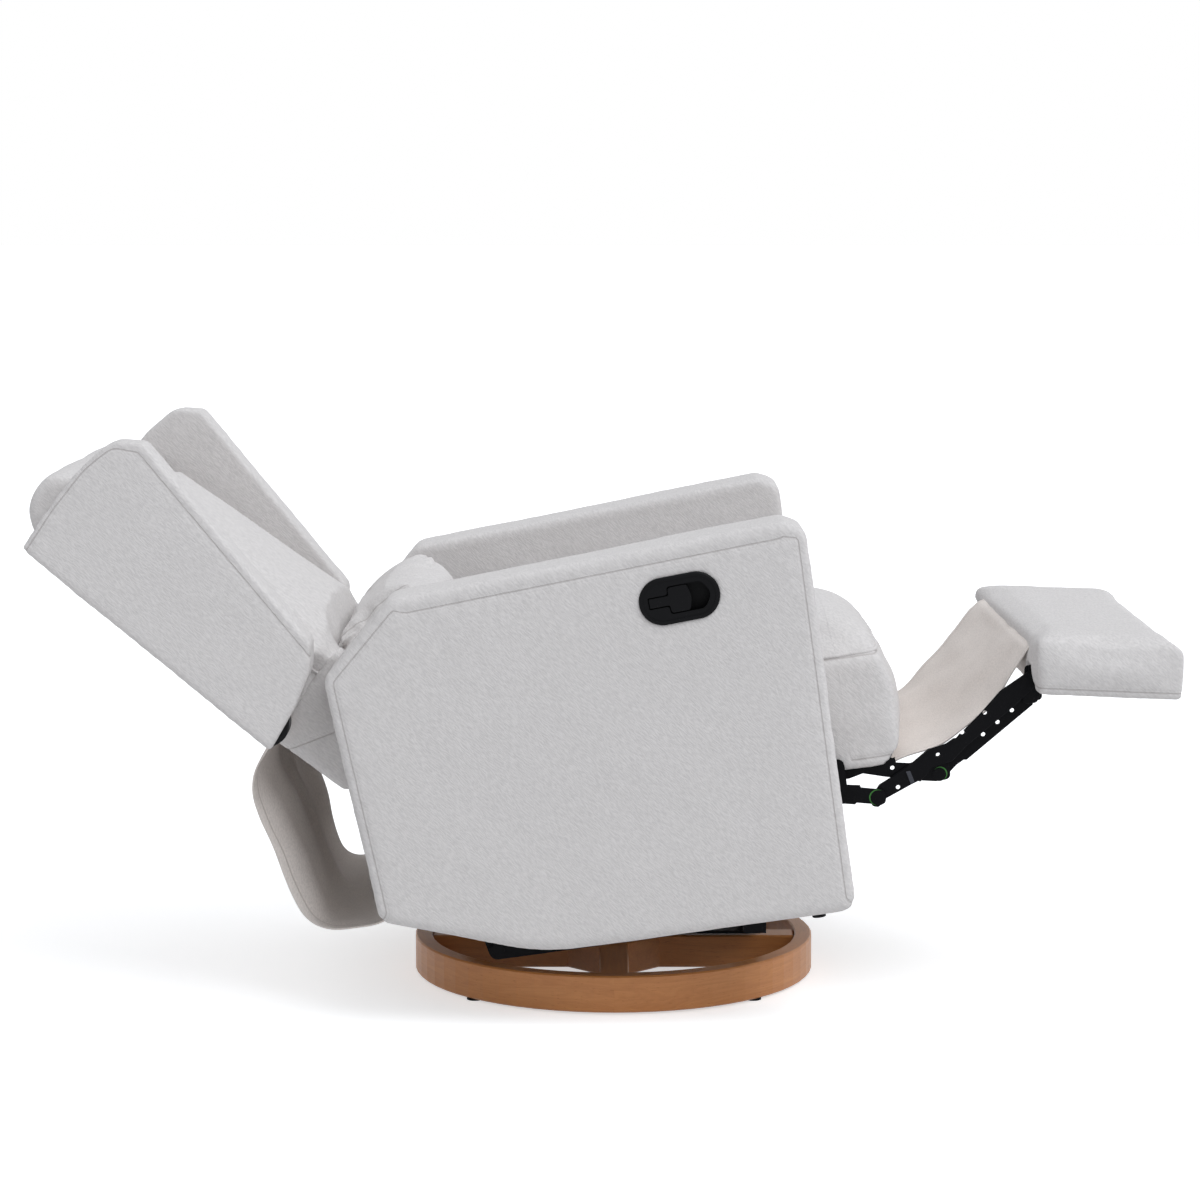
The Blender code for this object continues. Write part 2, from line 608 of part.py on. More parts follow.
def make_glide(swivel, plate_top, chair):
    tilt = math.radians(TILT_DEG)
    rear, front = hung_pivots(tilt)
    stand_bottom = plate_top + GAP
    channel_bottom = stand_bottom + GLIDE_RISER_HEIGHT
    ear = GLIDE_STAND_HALF_SPAN
    inner = ear - STEEL_SHEET
    ear_top = UPPER_PIVOT_HEIGHT + GLIDE_LINK_RADIUS
    link_inner = ear + SHEET_SPACING
    link_outer = link_inner + STEEL_SHEET
    bar_inner = link_outer + SHEET_SPACING
    bar_outer = bar_inner + STEEL_SHEET
    reach = UPPER_PIVOT_SPACING / 2
    half = GLIDE_STAND_DEPTH / 2
    for end, forward, low in (("rear", -reach, rear), ("front", reach, front)):
        stand = box(
            f"glide_stand_{end}", (-ear, forward - half, channel_bottom), (ear, forward + half, ear_top),
            swivel, BLACK_STEEL,
        )
        name = f"stand_riser_{end}"
        riser = block_mesh(
            name, (-GLIDE_RISER_WIDTH / 2, forward - half, stand_bottom),
            (GLIDE_RISER_WIDTH / 2, forward + half, channel_bottom + STEEL_SHEET / 2),
        )
        combine(stand, helper(name, riser, swivel), "UNION")
        name = f"stand_hollow_{end}"
        hollow = block_mesh(
            name, (-inner, forward - half - OVERRUN, channel_bottom + STEEL_SHEET),
            (inner, forward + half + OVERRUN, ear_top + OVERRUN),
        )
        combine(stand, helper(name, hollow, swivel), "DIFFERENCE")
        pivot = (forward, UPPER_PIVOT_HEIGHT)
        combine_pin(
            stand, f"stand_bores_{end}", pivot, RIVET_RADIUS + GAP, -ear - OVERRUN, ear + OVERRUN, swivel,
            "DIFFERENCE",
        )
        axis = new_frame(f"glide_{end}_axis", swivel, at(*pivot))
        lower = (low.x - pivot[0], low.y - pivot[1])
        cover = RIVET_HEAD_RADIUS + (OPEN_PIVOT_CLEARANCE if end == "rear" else 0.0)
        for side, sign in SIDES:
            name = f"glide_link_{end}_{side}"
            outline = capsule((0.0, 0.0), lower, GLIDE_LINK_RADIUS)
            link = new_object(
                name, flat_mesh(name, [outline], STEEL_SHEET), axis, BLACK_STEEL,
                sign * (link_inner + link_outer) / 2,
            )
            inside = sign * (inner - GAP - RIVET_HEAD_HEIGHT) - link.location.x
            outside = sign * (bar_outer + GAP + RIVET_HEAD_HEIGHT) - link.location.x
            combine_pin(link, f"{name}_top_rivet", (0.0, 0.0), RIVET_RADIUS, inside, 0.0, link, "UNION")
            combine_pin(link, f"{name}_low_rivet", lower, RIVET_RADIUS, 0.0, outside, link, "UNION")
            cap = sign * RIVET_HEAD_HEIGHT
            combine_pin(
                link, f"{name}_top_head", (0.0, 0.0), RIVET_HEAD_RADIUS, inside, inside + cap, link, "UNION"
            )
            combine_pin(link, f"{name}_low_head", lower, cover, outside - cap, outside, link, "UNION")
    to_chair = chair.matrix_local.inverted()
    rear_local = to_chair @ at(rear.x, rear.y)
    front_local = to_chair @ at(front.x, front.y)
    rear_place = (-rear_local.y, rear_local.z)
    front_place = (-front_local.y, front_local.z)
    flange_top = ARM_BOTTOM - GAP
    for side, sign in SIDES:
        name = f"carriage_rail_{side}"
        outline = capsule(rear_place, front_place, CARRIAGE_BAR_HEIGHT / 2)
        centre = sign * (bar_inner + bar_outer) / 2
        rail = new_object(name, flat_mesh(name, [outline], STEEL_SHEET), chair, BLACK_STEEL, centre)
        half = STEEL_SHEET / 2
        flange = block_mesh(
            f"{name}_flange", (-sign * half, CARRIAGE_FLANGE_REAR, flange_top - STEEL_SHEET),
            (sign * (CARRIAGE_FLANGE_REACH - half), CARRIAGE_FLANGE_FRONT, flange_top),
        )
        combine(rail, helper(f"{name}_flange", flange, rail), "UNION")
        web = block_mesh(
            f"{name}_web", (-half, CARRIAGE_FLANGE_REAR, rear_place[1]),
            (half, CARRIAGE_FLANGE_FRONT, flange_top),
        )
        combine(rail, helper(f"{name}_web", web, rail), "UNION")
        bores = (("rear", rear_place, GAP + OPEN_PIVOT_CLEARANCE), ("front", front_place, GAP))
        for end, place, clearance in bores:
            bore = RIVET_RADIUS + clearance
            combine_pin(rail, f"{name}_{end}_bore", place, bore, -OVERRUN, OVERRUN, rail, "DIFFERENCE")
    span = 2 * (bar_inner - GAP)
    middle = at(-CARRIAGE_TUBE_SETBACK, rear_place[1])
    mesh = cylinder_mesh("carriage_tube", CARRIAGE_TUBE_RADIUS, span, middle, ALONG_X)
    new_object("carriage_tube", mesh, chair, BLACK_STEEL)


def scaled_corners(shares, origin, size, radius):
    corners = []
    for entry in shares:
        corner = radius if len(entry) == 2 else entry[2] * size[0]
        corners.append((origin[0] + entry[0] * size[0], origin[1] + entry[1] * size[1], corner))
    return corners


def make_arms(chair):
    """Upholstered covers open below, each over a plywood frame. Returns the right arm's two solids."""
    centre = CHAIR_HALF_WIDTH - ARM_THICKNESS / 2
    origin = (ARM_FRONT - ARM_LENGTH, ARM_BOTTOM)
    size = (ARM_LENGTH, ARM_HEIGHT)
    corners = scaled_corners(ARM_OUTLINE_SHARES, origin, size, ARM_CORNER)
    inner_origin = (origin[0] + ARM_FRAME_INSET, ARM_BOTTOM)
    inner_size = (ARM_LENGTH - 2 * ARM_FRAME_INSET, ARM_HEIGHT - ARM_FRAME_INSET)
    frame_corners = scaled_corners(ARM_OUTLINE_SHARES, inner_origin, inner_size, ARM_CORNER)
    pocket_origin = (inner_origin[0] - POCKET_CLEARANCE, ARM_BOTTOM)
    pocket_size = (inner_size[0] + 2 * POCKET_CLEARANCE, inner_size[1] + POCKET_CLEARANCE)
    pocket_corners = [
        (forward, up if up > ARM_BOTTOM + ARM_HEIGHT / 2 else ARM_BOTTOM - OVERRUN, radius)
        for forward, up, radius in scaled_corners(
            ARM_OUTLINE_SHARES, pocket_origin, pocket_size, ARM_CORNER
        )
    ]
    made = {}
    for side, sign in SIDES:
        cover = slab(
            f"arm_cover_{side}", corners, ARM_THICKNESS, chair, FABRIC, sign * centre, ARM_ROUNDING
        )
        room = ARM_FRAME_THICKNESS + 2 * GAP + ARM_CABLE_ROOM
        pocket = flat_mesh(f"arm_pocket_{side}", [filleted(pocket_corners)], room)
        hollow = helper(f"arm_pocket_{side}", pocket, chair)
        hollow.location.x = sign * (centre + ARM_CABLE_ROOM / 2)
        combine(cover, hollow, "DIFFERENCE")
        frame = slab(
            f"arm_frame_{side}", frame_corners, ARM_FRAME_THICKNESS, chair, PLYWOOD, sign * centre
        )
        name = f"arm_foot_{side}"
        place = at(
            ARM_FRONT - ARM_FOOT_INSET, ARM_BOTTOM - GAP - ARM_FOOT_HEIGHT / 2,
            sign * (CHAIR_HALF_WIDTH - ARM_FOOT_INSET / 2),
        )
        mesh = cylinder_mesh(name, ARM_FOOT_RADIUS, ARM_FOOT_HEIGHT, place)
        new_object(name, mesh, chair, BLACK_PLASTIC)
        made[side] = (cover, frame)
    return made["right"]


def make_seat(chair):
    web_centre = WEB_OUTER - STEEL_SHEET / 2
    web_bottom = FLANGE_TOP - WEB_HEIGHT
    axis = (RECLINE_AXIS_FORWARD, RECLINE_AXIS_HEIGHT)
    ear_rear = RECLINE_AXIS_FORWARD - BRACKET_RADIUS
    ear_front = RECLINE_AXIS_FORWARD + BRACKET_RADIUS
    ear_top = RECLINE_AXIS_HEIGHT + BRACKET_RADIUS
    corners = [
        (WEB_REAR, web_bottom, 0.0), (WEB_FRONT, web_bottom, LINK_RADIUS),
        (WEB_FRONT, FLANGE_TOP, LINK_RADIUS), (ear_front + WEB_HEIGHT, FLANGE_TOP, WEB_HEIGHT),
        (ear_front, ear_top, BRACKET_RADIUS), (ear_rear, ear_top, BRACKET_RADIUS),
        (WEB_REAR, FLANGE_TOP, WEB_HEIGHT),
    ]
    for side, sign in SIDES:
        name = f"side_plate_{side}"
        holes = [circle(axis, RIVET_RADIUS + GAP)]
        holes += [circle(pivot, RIVET_RADIUS + GAP) for pivot in (DRIVE_PIVOT, CRANK_PIVOT)]
        plate = new_object(
            name, flat_mesh(name, [filleted(corners), *holes], STEEL_SHEET), chair, BLACK_STEEL,
            sign * web_centre,
        )
        half = STEEL_SHEET / 2
        flange = block_mesh(
            f"{name}_flange", (sign * half, FLANGE_REAR, FLANGE_TOP - STEEL_SHEET),
            (sign * (half - FLANGE_REACH), FLANGE_FRONT, FLANGE_TOP),
        )
        combine(plate, helper(f"{name}_flange", flange, plate), "UNION")
    span = 2 * (WEB_OUTER - STEEL_SHEET - GAP)
    tube = cylinder_mesh(
        "mechanism_cross_tube", CROSS_TUBE_RADIUS, span, at(CROSS_TUBE_FORWARD, CROSS_TUBE_HEIGHT), ALONG_X
    )
    new_object("mechanism_cross_tube", tube, chair, BLACK_STEEL)
    rail_top = FLANGE_TOP - STEEL_SHEET - GAP
    rail_bottom = rail_top - SEAT_RAIL_HEIGHT
    box(
        "seat_rail_front", (-SEAT_RAIL_HALF_SPAN, FLANGE_FRONT - SEAT_RAIL_WIDTH, rail_bottom),
        (SEAT_RAIL_HALF_SPAN, FLANGE_FRONT, rail_top), chair, PLYWOOD,
    )
    rear_rail_front = REAR_RAIL_FORWARD + SEAT_RAIL_WIDTH
    box(
        "seat_rail_rear", (-WEB_OUTER, REAR_RAIL_FORWARD, REAR_RAIL_BOTTOM),
        (WEB_OUTER, rear_rail_front, REAR_RAIL_BOTTOM + REAR_RAIL_HEIGHT), chair, PLYWOOD,
    )
    deck_bottom = FLANGE_TOP + GAP
    deck_top = deck_bottom + DECK_THICKNESS
    box(
        "seat_deck", (-CUSHION_HALF_WIDTH, DECK_REAR, deck_bottom),
        (CUSHION_HALF_WIDTH, FLANGE_FRONT, deck_top), chair, LINING,
    )
    cushion(
        "seat_cushion", CUSHION_HALF_WIDTH, CUSHION_REAR, CUSHION_FRONT, deck_top + GAP, CUSHION_TOP,
        CUSHION_CROWN, CUSHION_PINCH, chair, cuts=SEAT_CUSHION_CUTS, front_power=4,
    )


def make_back(chair):
    lean = math.radians(BACK_LEAN_DEG)
    back = new_frame("recline_axis", chair, at(RECLINE_AXIS_FORWARD, RECLINE_AXIS_HEIGHT), -lean)
    origin = (WING_FRONT - WING_DEPTH, WING_BOTTOM)
    corners = scaled_corners(WING_OUTLINE_SHARES, origin, (WING_DEPTH, WING_HEIGHT), 0.0)
    wing_centre = WING_HALF_WIDTH - WING_THICKNESS / 2
    for side, sign in SIDES:
        slab(
            f"wing_{side}", corners, WING_THICKNESS, back, FABRIC, sign * wing_centre, WING_ROUNDING
        )
    between = WING_HALF_WIDTH - WING_THICKNESS - GAP
    pad = new_frame(
        "back_pad_frame", back, at(PAD_ORIGIN_FORWARD, PAD_ORIGIN_HEIGHT), -math.radians(PAD_LEAN_DEG)
    )
    top = BACK_PANEL_HEIGHT
    box("back_panel", (-between, -BACK_PANEL_THICKNESS, 0.0), (between, -GAP, top), pad, FABRIC)
    box("back_frame", (-between, 0.0, 0.0), (between, BACK_FRAME_THICKNESS, top), pad, PLYWOOD)
    cushion_rear = BACK_FRAME_THICKNESS + GAP
    cushion(
        "back_cushion", between, cushion_rear, cushion_rear + BACK_CUSHION_DEPTH, GAP,
        top - BACK_CUSHION_SET_DOWN, BACK_CUSHION_CROWN, CUSHION_PINCH, pad, upright=True,
    )
    roll_bottom = BACK_PANEL_HEIGHT + GAP
    cushion(
        "head_roll", between, HEAD_ROLL_REAR, HEAD_ROLL_REAR + HEAD_ROLL_DEPTH, roll_bottom,
        roll_bottom + HEAD_ROLL_HEIGHT, HEAD_ROLL_CROWN, CUSHION_PINCH, pad,
    )
    lumbar_rear = BACK_LOWER_REAR + BACK_LOWER_DEPTH + GAP
    cushion(
        "lumbar_pillow", LUMBAR_WIDTH / 2, lumbar_rear, lumbar_rear + LUMBAR_DEPTH, LUMBAR_BOTTOM,
        LUMBAR_BOTTOM + LUMBAR_HEIGHT, LUMBAR_CROWN, 0.0, back,
    )
    lower_front = BACK_LOWER_REAR + BACK_LOWER_DEPTH
    rise = math.tan(math.radians(PAD_LEAN_DEG))
    rear_top, front_top = (
        PAD_ORIGIN_HEIGHT - GAP + (forward - PAD_ORIGIN_FORWARD) * rise
        for forward in (BACK_LOWER_REAR, lower_front)
    )
    lower_corners = [
        (BACK_LOWER_REAR + BACK_LOWER_SET_IN, BACK_LOWER_BOTTOM, BACK_LOWER_CORNER),
        (lower_front, BACK_LOWER_BOTTOM, BACK_LOWER_CORNER), (lower_front, front_top, BACK_LOWER_CORNER),
        (BACK_LOWER_REAR, rear_top, BACK_LOWER_CORNER),
    ]
    slab("back_lower", lower_corners, 2 * BACK_LOWER_HALF_WIDTH, back, FABRIC)
    heading = math.radians(90 + BRACKET_LEAN_DEG)
    far_end = (BRACKET_REACH * math.cos(heading), BRACKET_REACH * math.sin(heading))
    bracket_centre = WEB_OUTER - STEEL_SHEET - SHEET_SPACING - STEEL_SHEET / 2
    for side, sign in SIDES:
        name = f"back_bracket_{side}"
        outline = capsule((0.0, 0.0), far_end, BRACKET_RADIUS)
        bracket = new_object(
            name, flat_mesh(name, [outline], STEEL_SHEET), back, BLACK_STEEL, sign * bracket_centre
        )
        outward = sign * (STEEL_SHEET / 2 + SHEET_SPACING + STEEL_SHEET - GAP)
        combine_pin(bracket, f"{name}_pin", (0.0, 0.0), RIVET_RADIUS, 0.0, outward, bracket, "UNION")
        inward = bracket_centre - STEEL_SHEET / 2 - BACK_LOWER_HALF_WIDTH - GAP
        boss = (far_end[0] / 2 + PAD_ORIGIN_FORWARD / 4, far_end[1] / 2 + BACK_LOWER_BOTTOM / 2)
        boss_end = -sign * (STEEL_SHEET / 2 + inward)
        combine_pin(
            bracket, f"{name}_boss", boss, RIVET_HEAD_RADIUS, 0.0, boss_end, bracket, "UNION"
        )
    return back


def make_handle(chair, cover, frame):
    slope = math.radians(HANDLE_SLOPE_DEG)
    handle = new_frame("handle_frame", chair, at(HANDLE_FORWARD, HANDLE_HEIGHT, -CHAIR_HALF_WIDTH), -slope)
    half_length = BEZEL_LENGTH / 2
    half_height = BEZEL_HEIGHT / 2

    def oval(shrink):
        turns = [math.tau * step / (2 * ROUND_STEPS) for step in range(2 * ROUND_STEPS)]
        width = half_length - shrink
        height = half_height - shrink
        return [(width * math.cos(turn), height * math.sin(turn)) for turn in turns]

    rim = new_object(
        "handle_bezel", flat_mesh("handle_bezel", [oval(0.0)], BEZEL_PROUD), handle, BLACK_PLASTIC,
        -(BEZEL_PROUD / 2 + GAP),
    )
    cup = helper("bezel_cup", flat_mesh("bezel_cup", [oval(BEZEL_RIM)], BEZEL_DEPTH), rim)
    cup.location.x = BEZEL_DEPTH / 2
    combine(rim, cup, "UNION")
    hollow = [oval(BEZEL_RIM + BEZEL_WALL)]
    recess = helper("bezel_recess", flat_mesh("bezel_recess", hollow, BEZEL_DEPTH), rim)
    recess.location.x = BEZEL_DEPTH / 2 - BEZEL_WALL - BEZEL_PROUD / 2
    front = helper("bezel_front", flat_mesh("bezel_front", hollow, 2 * BEZEL_PROUD), rim)
    combine(rim, recess, "DIFFERENCE")
    combine(rim, front, "DIFFERENCE")
    seat = helper(
        "bezel_seat", flat_mesh("bezel_seat", [oval(BEZEL_RIM - GAP)], 2 * (BEZEL_DEPTH + GAP)), handle
    )
    combine(cover, seat, "DIFFERENCE")
    axis = new_frame("lever_axis", handle, at(-PADDLE_SETBACK, 0.0, -PADDLE_THICKNESS / 2))
    half_stem = PADDLE_STEM / 2
    half_paddle = PADDLE_HEIGHT / 2
    neck = PADDLE_LENGTH * PADDLE_NECK_SHARE
    corners = [
        (-half_stem, -half_stem, GAP), (neck, -half_stem, half_stem), (neck, -half_paddle, GAP),
        (PADDLE_LENGTH, -half_paddle, half_stem), (PADDLE_LENGTH, half_paddle, half_stem),
        (neck, half_paddle, GAP), (neck, half_stem, half_stem), (-half_stem, half_stem, GAP),
    ]
    lever = slab("handle_lever", corners, PADDLE_THICKNESS, axis, BLACK_PLASTIC)
    inner_height = half_height - BEZEL_RIM - BEZEL_WALL
    ratio = (half_length - BEZEL_RIM - BEZEL_WALL) / PADDLE_SETBACK
    wall = inner_height * math.sqrt(1 - 1 / (ratio * ratio))
    pin = cylinder_mesh("lever_pin", PADDLE_PIN_RADIUS, 2 * (wall - PADDLE_PIN_RADIUS), (0, 0, 0))
    combine(lever, helper("lever_pin", pin, axis), "UNION")
    make_cable(chair, cover, frame)


def make_cable(chair, cover, frame):
    """The release cable, from the handle down beside the arm's frame to the side plate."""
    centre = CHAIR_HALF_WIDTH - ARM_THICKNESS / 2
    start = CHAIR_HALF_WIDTH - BEZEL_DEPTH + BEZEL_PROUD / 2
    drop = centre + ARM_FRAME_THICKNESS / 2 + ARM_CABLE_ROOM / 2
    route = [(start - GAP, HANDLE_HEIGHT)]
    bends = (
        ((drop + CABLE_BEND, HANDLE_HEIGHT - CABLE_BEND), math.pi / 2, math.pi),
        ((drop - CABLE_BEND, CABLE_LOW_END + CABLE_BEND), 0.0, -math.pi / 2),
    )
    for centre, first, last in bends:
        for step in range(FILLET_STEPS + 1):
            turn = first + (last - first) * step / FILLET_STEPS
            route.append((centre[0] + CABLE_BEND * math.cos(turn), centre[1] + CABLE_BEND * math.sin(turn)))
    route.append((WEB_OUTER + GAP, CABLE_LOW_END))
    curve = bpy.data.curves.new("release_cable", "CURVE")
    curve.dimensions = "3D"
    curve.bevel_depth = CABLE_RADIUS
    curve.bevel_resolution = 2
    curve.use_fill_caps = True
    spline = curve.splines.new("POLY")
    spline.points.add(len(route) - 1)
    for knot, (side, up) in zip(spline.points, route):
        knot.co = (*at(HANDLE_FORWARD, up, -side), 1.0)
    cable = bpy.data.objects.new("release_cable", curve)
    curve.materials.append(BLACK_PLASTIC)
    PARTS.objects.link(cable)
    cable.parent = chair
    low = (HANDLE_FORWARD, CABLE_LOW_END)
    for target, name in ((cover, "cable_hole_cover"), (frame, "cable_hole_frame")):
        middle = at(*low, -(drop + BETWEEN_ARMS) / 2)
        hole = cylinder_mesh(name, CABLE_HOLE_RADIUS, drop - BETWEEN_ARMS + 2 * OVERRUN, middle, ALONG_X)
        combine(target, helper(name, hole, chair), "DIFFERENCE")


def local(place, origin):
    return (place[0] - origin[0], place[1] - origin[1])


def link_plate(name, first, second, layer, sign, parent, hole_shares=(), extra_pin=None):
    """A steel link in its own layer between two pivots, with see-through holes along it."""
    holes = []
    for share in hole_shares:
        centre = (first[0] + (second[0] - first[0]) * share, first[1] + (second[1] - first[1]) * share)
        holes.append(circle(centre, HOLE_RADIUS, HOLE_STEPS))
    outline = capsule(first, second, LINK_RADIUS)
    return new_object(
        name, flat_mesh(name, [outline, *holes], STEEL_SHEET), parent, BLACK_STEEL, sign * layer
    )


def rivet_between(link, name, place, sign, start, end):
    """A rivet through the next layers, from one side place to another, measured from the link."""
    combine_pin(link, name, place, RIVET_RADIUS, sign * start, sign * end, link, "UNION")


def make_footrest(chair):
    pitch = STEEL_SHEET + SHEET_SPACING
    layers = [WEB_OUTER - STEEL_SHEET / 2 - pitch * count for count in range(5)]
    drive = new_frame("drive_link_axis", chair, at(*DRIVE_PIVOT))
    crank = new_frame("crank_link_axis", chair, at(*CRANK_PIVOT))
    long_axis = new_frame("long_link_axis", drive, at(*local(CROSS_PIVOT, DRIVE_PIVOT)))
    front_axis = new_frame("front_link_axis", drive, at(*local(LOWER_PIVOT, DRIVE_PIVOT)))
    slope = math.radians(FOOTREST_SLOPE_DEG)
    rest = new_frame("footrest_axis", long_axis, at(*local(TOP_PIVOT, CROSS_PIVOT)), slope)
    to_web = pitch + STEEL_SHEET / 2 - GAP
    bore = RIVET_RADIUS + GAP
    low_local = Vector(local(BOTTOM_PIVOT, TOP_PIVOT))
    forward_axis = Vector((math.cos(slope), -math.sin(slope)))
    up_axis = Vector((math.sin(slope), math.cos(slope)))
    bottom_hole = (low_local.dot(forward_axis), low_local.dot(up_axis))
    for side, sign in SIDES:
        name = f"crank_link_{side}"
        tail = local(TAIL_PIVOT, CRANK_PIVOT)
        link = link_plate(name, (0.0, 0.0), tail, layers[1], sign, crank)
        rivet_between(link, f"{name}_rivet", (0.0, 0.0), sign, 0.0, to_web)
        name = f"drive_link_{side}"
        cross = local(CROSS_PIVOT, DRIVE_PIVOT)
        lower = local(LOWER_PIVOT, DRIVE_PIVOT)
        link = link_plate(name, (0.0, 0.0), cross, layers[3], sign, drive, DRIVE_LINK_HOLE_SHARES)
        lobe = capsule(cross, lower, LINK_RADIUS)
        combine(link, helper(f"{name}_lobe", flat_mesh(f"{name}_lobe", [lobe], STEEL_SHEET), link), "UNION")
        rivet_between(link, f"{name}_main_rivet", (0.0, 0.0), sign, 0.0, 2 * pitch + to_web)
        rivet_between(link, f"{name}_cross_rivet", cross, sign, 0.0, to_web)
        rivet_between(link, f"{name}_front_rivet", lower, sign, 0.0, -to_web)
        name = f"long_link_{side}"
        first = local(TAIL_PIVOT, CROSS_PIVOT)
        second = local(TOP_PIVOT, CROSS_PIVOT)
        link = link_plate(name, first, second, layers[2], sign, long_axis, LONG_LINK_HOLE_SHARES)
        combine_pin(link, f"{name}_bore", (0.0, 0.0), bore, -OVERRUN, OVERRUN, link, "DIFFERENCE")
        rivet_between(link, f"{name}_top_rivet", second, sign, 0.0, -to_web)
        name = f"front_link_{side}"
        second = local(BOTTOM_PIVOT, LOWER_PIVOT)
        link = link_plate(name, (0.0, 0.0), second, layers[4], sign, front_axis, FRONT_LINK_HOLE_SHARES)
        combine_pin(link, f"{name}_bore", (0.0, 0.0), bore, -OVERRUN, OVERRUN, link, "DIFFERENCE")
        name = f"footrest_bracket_{side}"
        outline = capsule((0.0, 0.0), bottom_hole, LINK_RADIUS)
        bracket = new_object(
            name, flat_mesh(name, [outline], STEEL_SHEET), rest, BLACK_STEEL, sign * layers[3]
        )
        combine_pin(bracket, f"{name}_bore", (0.0, 0.0), bore, -OVERRUN, OVERRUN, bracket, "DIFFERENCE")
        bar_top = FOOTREST_BOTTOM - GAP
        half = STEEL_SHEET / 2
        bar = block_mesh(
            f"{name}_bar", (-half, 0.0, bar_top - BRACKET_BAR_HEIGHT), (half, BRACKET_BAR_LENGTH, bar_top)
        )
        combine(bracket, helper(f"{name}_bar", bar, bracket), "UNION")
        flange = block_mesh(
            f"{name}_flange", (sign * half, BOARD_INSET + FOOTREST_REAR, bar_top - STEEL_SHEET),
            (sign * (half - BRACKET_FLANGE_REACH), BRACKET_BAR_LENGTH, bar_top),
        )
        combine(bracket, helper(f"{name}_flange", flange, bracket), "UNION")
    board_top = FOOTREST_BOTTOM + BOARD_THICKNESS
    rear = FOOTREST_REAR + BOARD_INSET
    front = FOOTREST_REAR + FOOTREST_LENGTH - BOARD_INSET
    half = FOOTREST_HALF_WIDTH - BOARD_INSET
    box("footrest_board", (-half, rear, FOOTREST_BOTTOM), (half, front, board_top), rest, PLYWOOD)
    pad_bottom = board_top + GAP
    cushion(
        "footrest_pad", FOOTREST_HALF_WIDTH, FOOTREST_REAR, FOOTREST_REAR + FOOTREST_LENGTH, pad_bottom,
        pad_bottom + FOOT_CUSHION_THICKNESS, FOOT_CUSHION_CROWN, 0.0, rest,
    )


def make_flaps(chair):
    back_lean = math.radians(BACK_LEAN_DEG)
    pad_lean = back_lean + math.radians(PAD_LEAN_DEG)
    base = Vector((RECLINE_AXIS_FORWARD, RECLINE_AXIS_HEIGHT))
    base += PAD_ORIGIN_FORWARD * Vector((math.cos(back_lean), math.sin(back_lean)))
    base += PAD_ORIGIN_HEIGHT * Vector((-math.sin(back_lean), math.cos(back_lean)))
    off_face = GAP + FLAP_THICKNESS / 2
    top = base - (BACK_PANEL_THICKNESS + off_face) * Vector((math.cos(pad_lean), math.sin(pad_lean)))
    lapped = top + REAR_FLAP_LAP * Vector((-math.sin(pad_lean), math.cos(pad_lean)))
    low = (REAR_RAIL_FORWARD - off_face, REAR_RAIL_BOTTOM)
    route = route_between(tuple(top), low, REAR_FLAP_ROUTE_SHARES)
    route = [tuple(lapped), *route, (low[0], low[1] + REAR_FLAP_LAP)]
    hanging_sheet("rear_flap", route, REAR_FLAP_HALF_WIDTH, chair)
    start = (FLANGE_FRONT + FRONT_FLAP_SETBACK, FLANGE_TOP - FLAP_THICKNESS)
    end = (TOP_PIVOT[0] + FOOTREST_REAR, TOP_PIVOT[1])
    route = [
        (start[0] + (end[0] - start[0]) * along, start[1] + (end[1] - start[1]) * rise)
        for along, rise in FRONT_FLAP_ROUTE_SHARES
    ]
    hanging_sheet("front_flap", route, FRONT_FLAP_HALF_WIDTH, chair)


def main():
    base_top = make_base()
    swivel, plate_top = make_swivel(base_top)
    tilt = math.radians(TILT_DEG)
    height = Vector((0.0, 0.0, TILT_AXIS_HEIGHT))
    turned = Matrix.Rotation(-tilt, 3, "X") @ height
    chair = new_frame("chair_frame", swivel, height - turned, -tilt)
    bpy.context.view_layer.update()
    make_glide(swivel, plate_top, chair)
    cover, frame = make_arms(chair)
    make_seat(chair)
    make_back(chair)
    make_handle(chair, cover, frame)
    make_footrest(chair)
    make_flaps(chair)


main()
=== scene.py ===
"""Looks of an upholstered glider recliner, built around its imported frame.

Pieces are modelled in the chair's own tilted frames, where a place is a side, a forward and an
up distance in metres, and are then moved to where the frame has them.
"""

import json
import math

import bmesh
import bpy
import numpy as np
from bpy.props import FloatProperty, FloatVectorProperty, PointerProperty
from mathutils import Matrix, Vector, noise


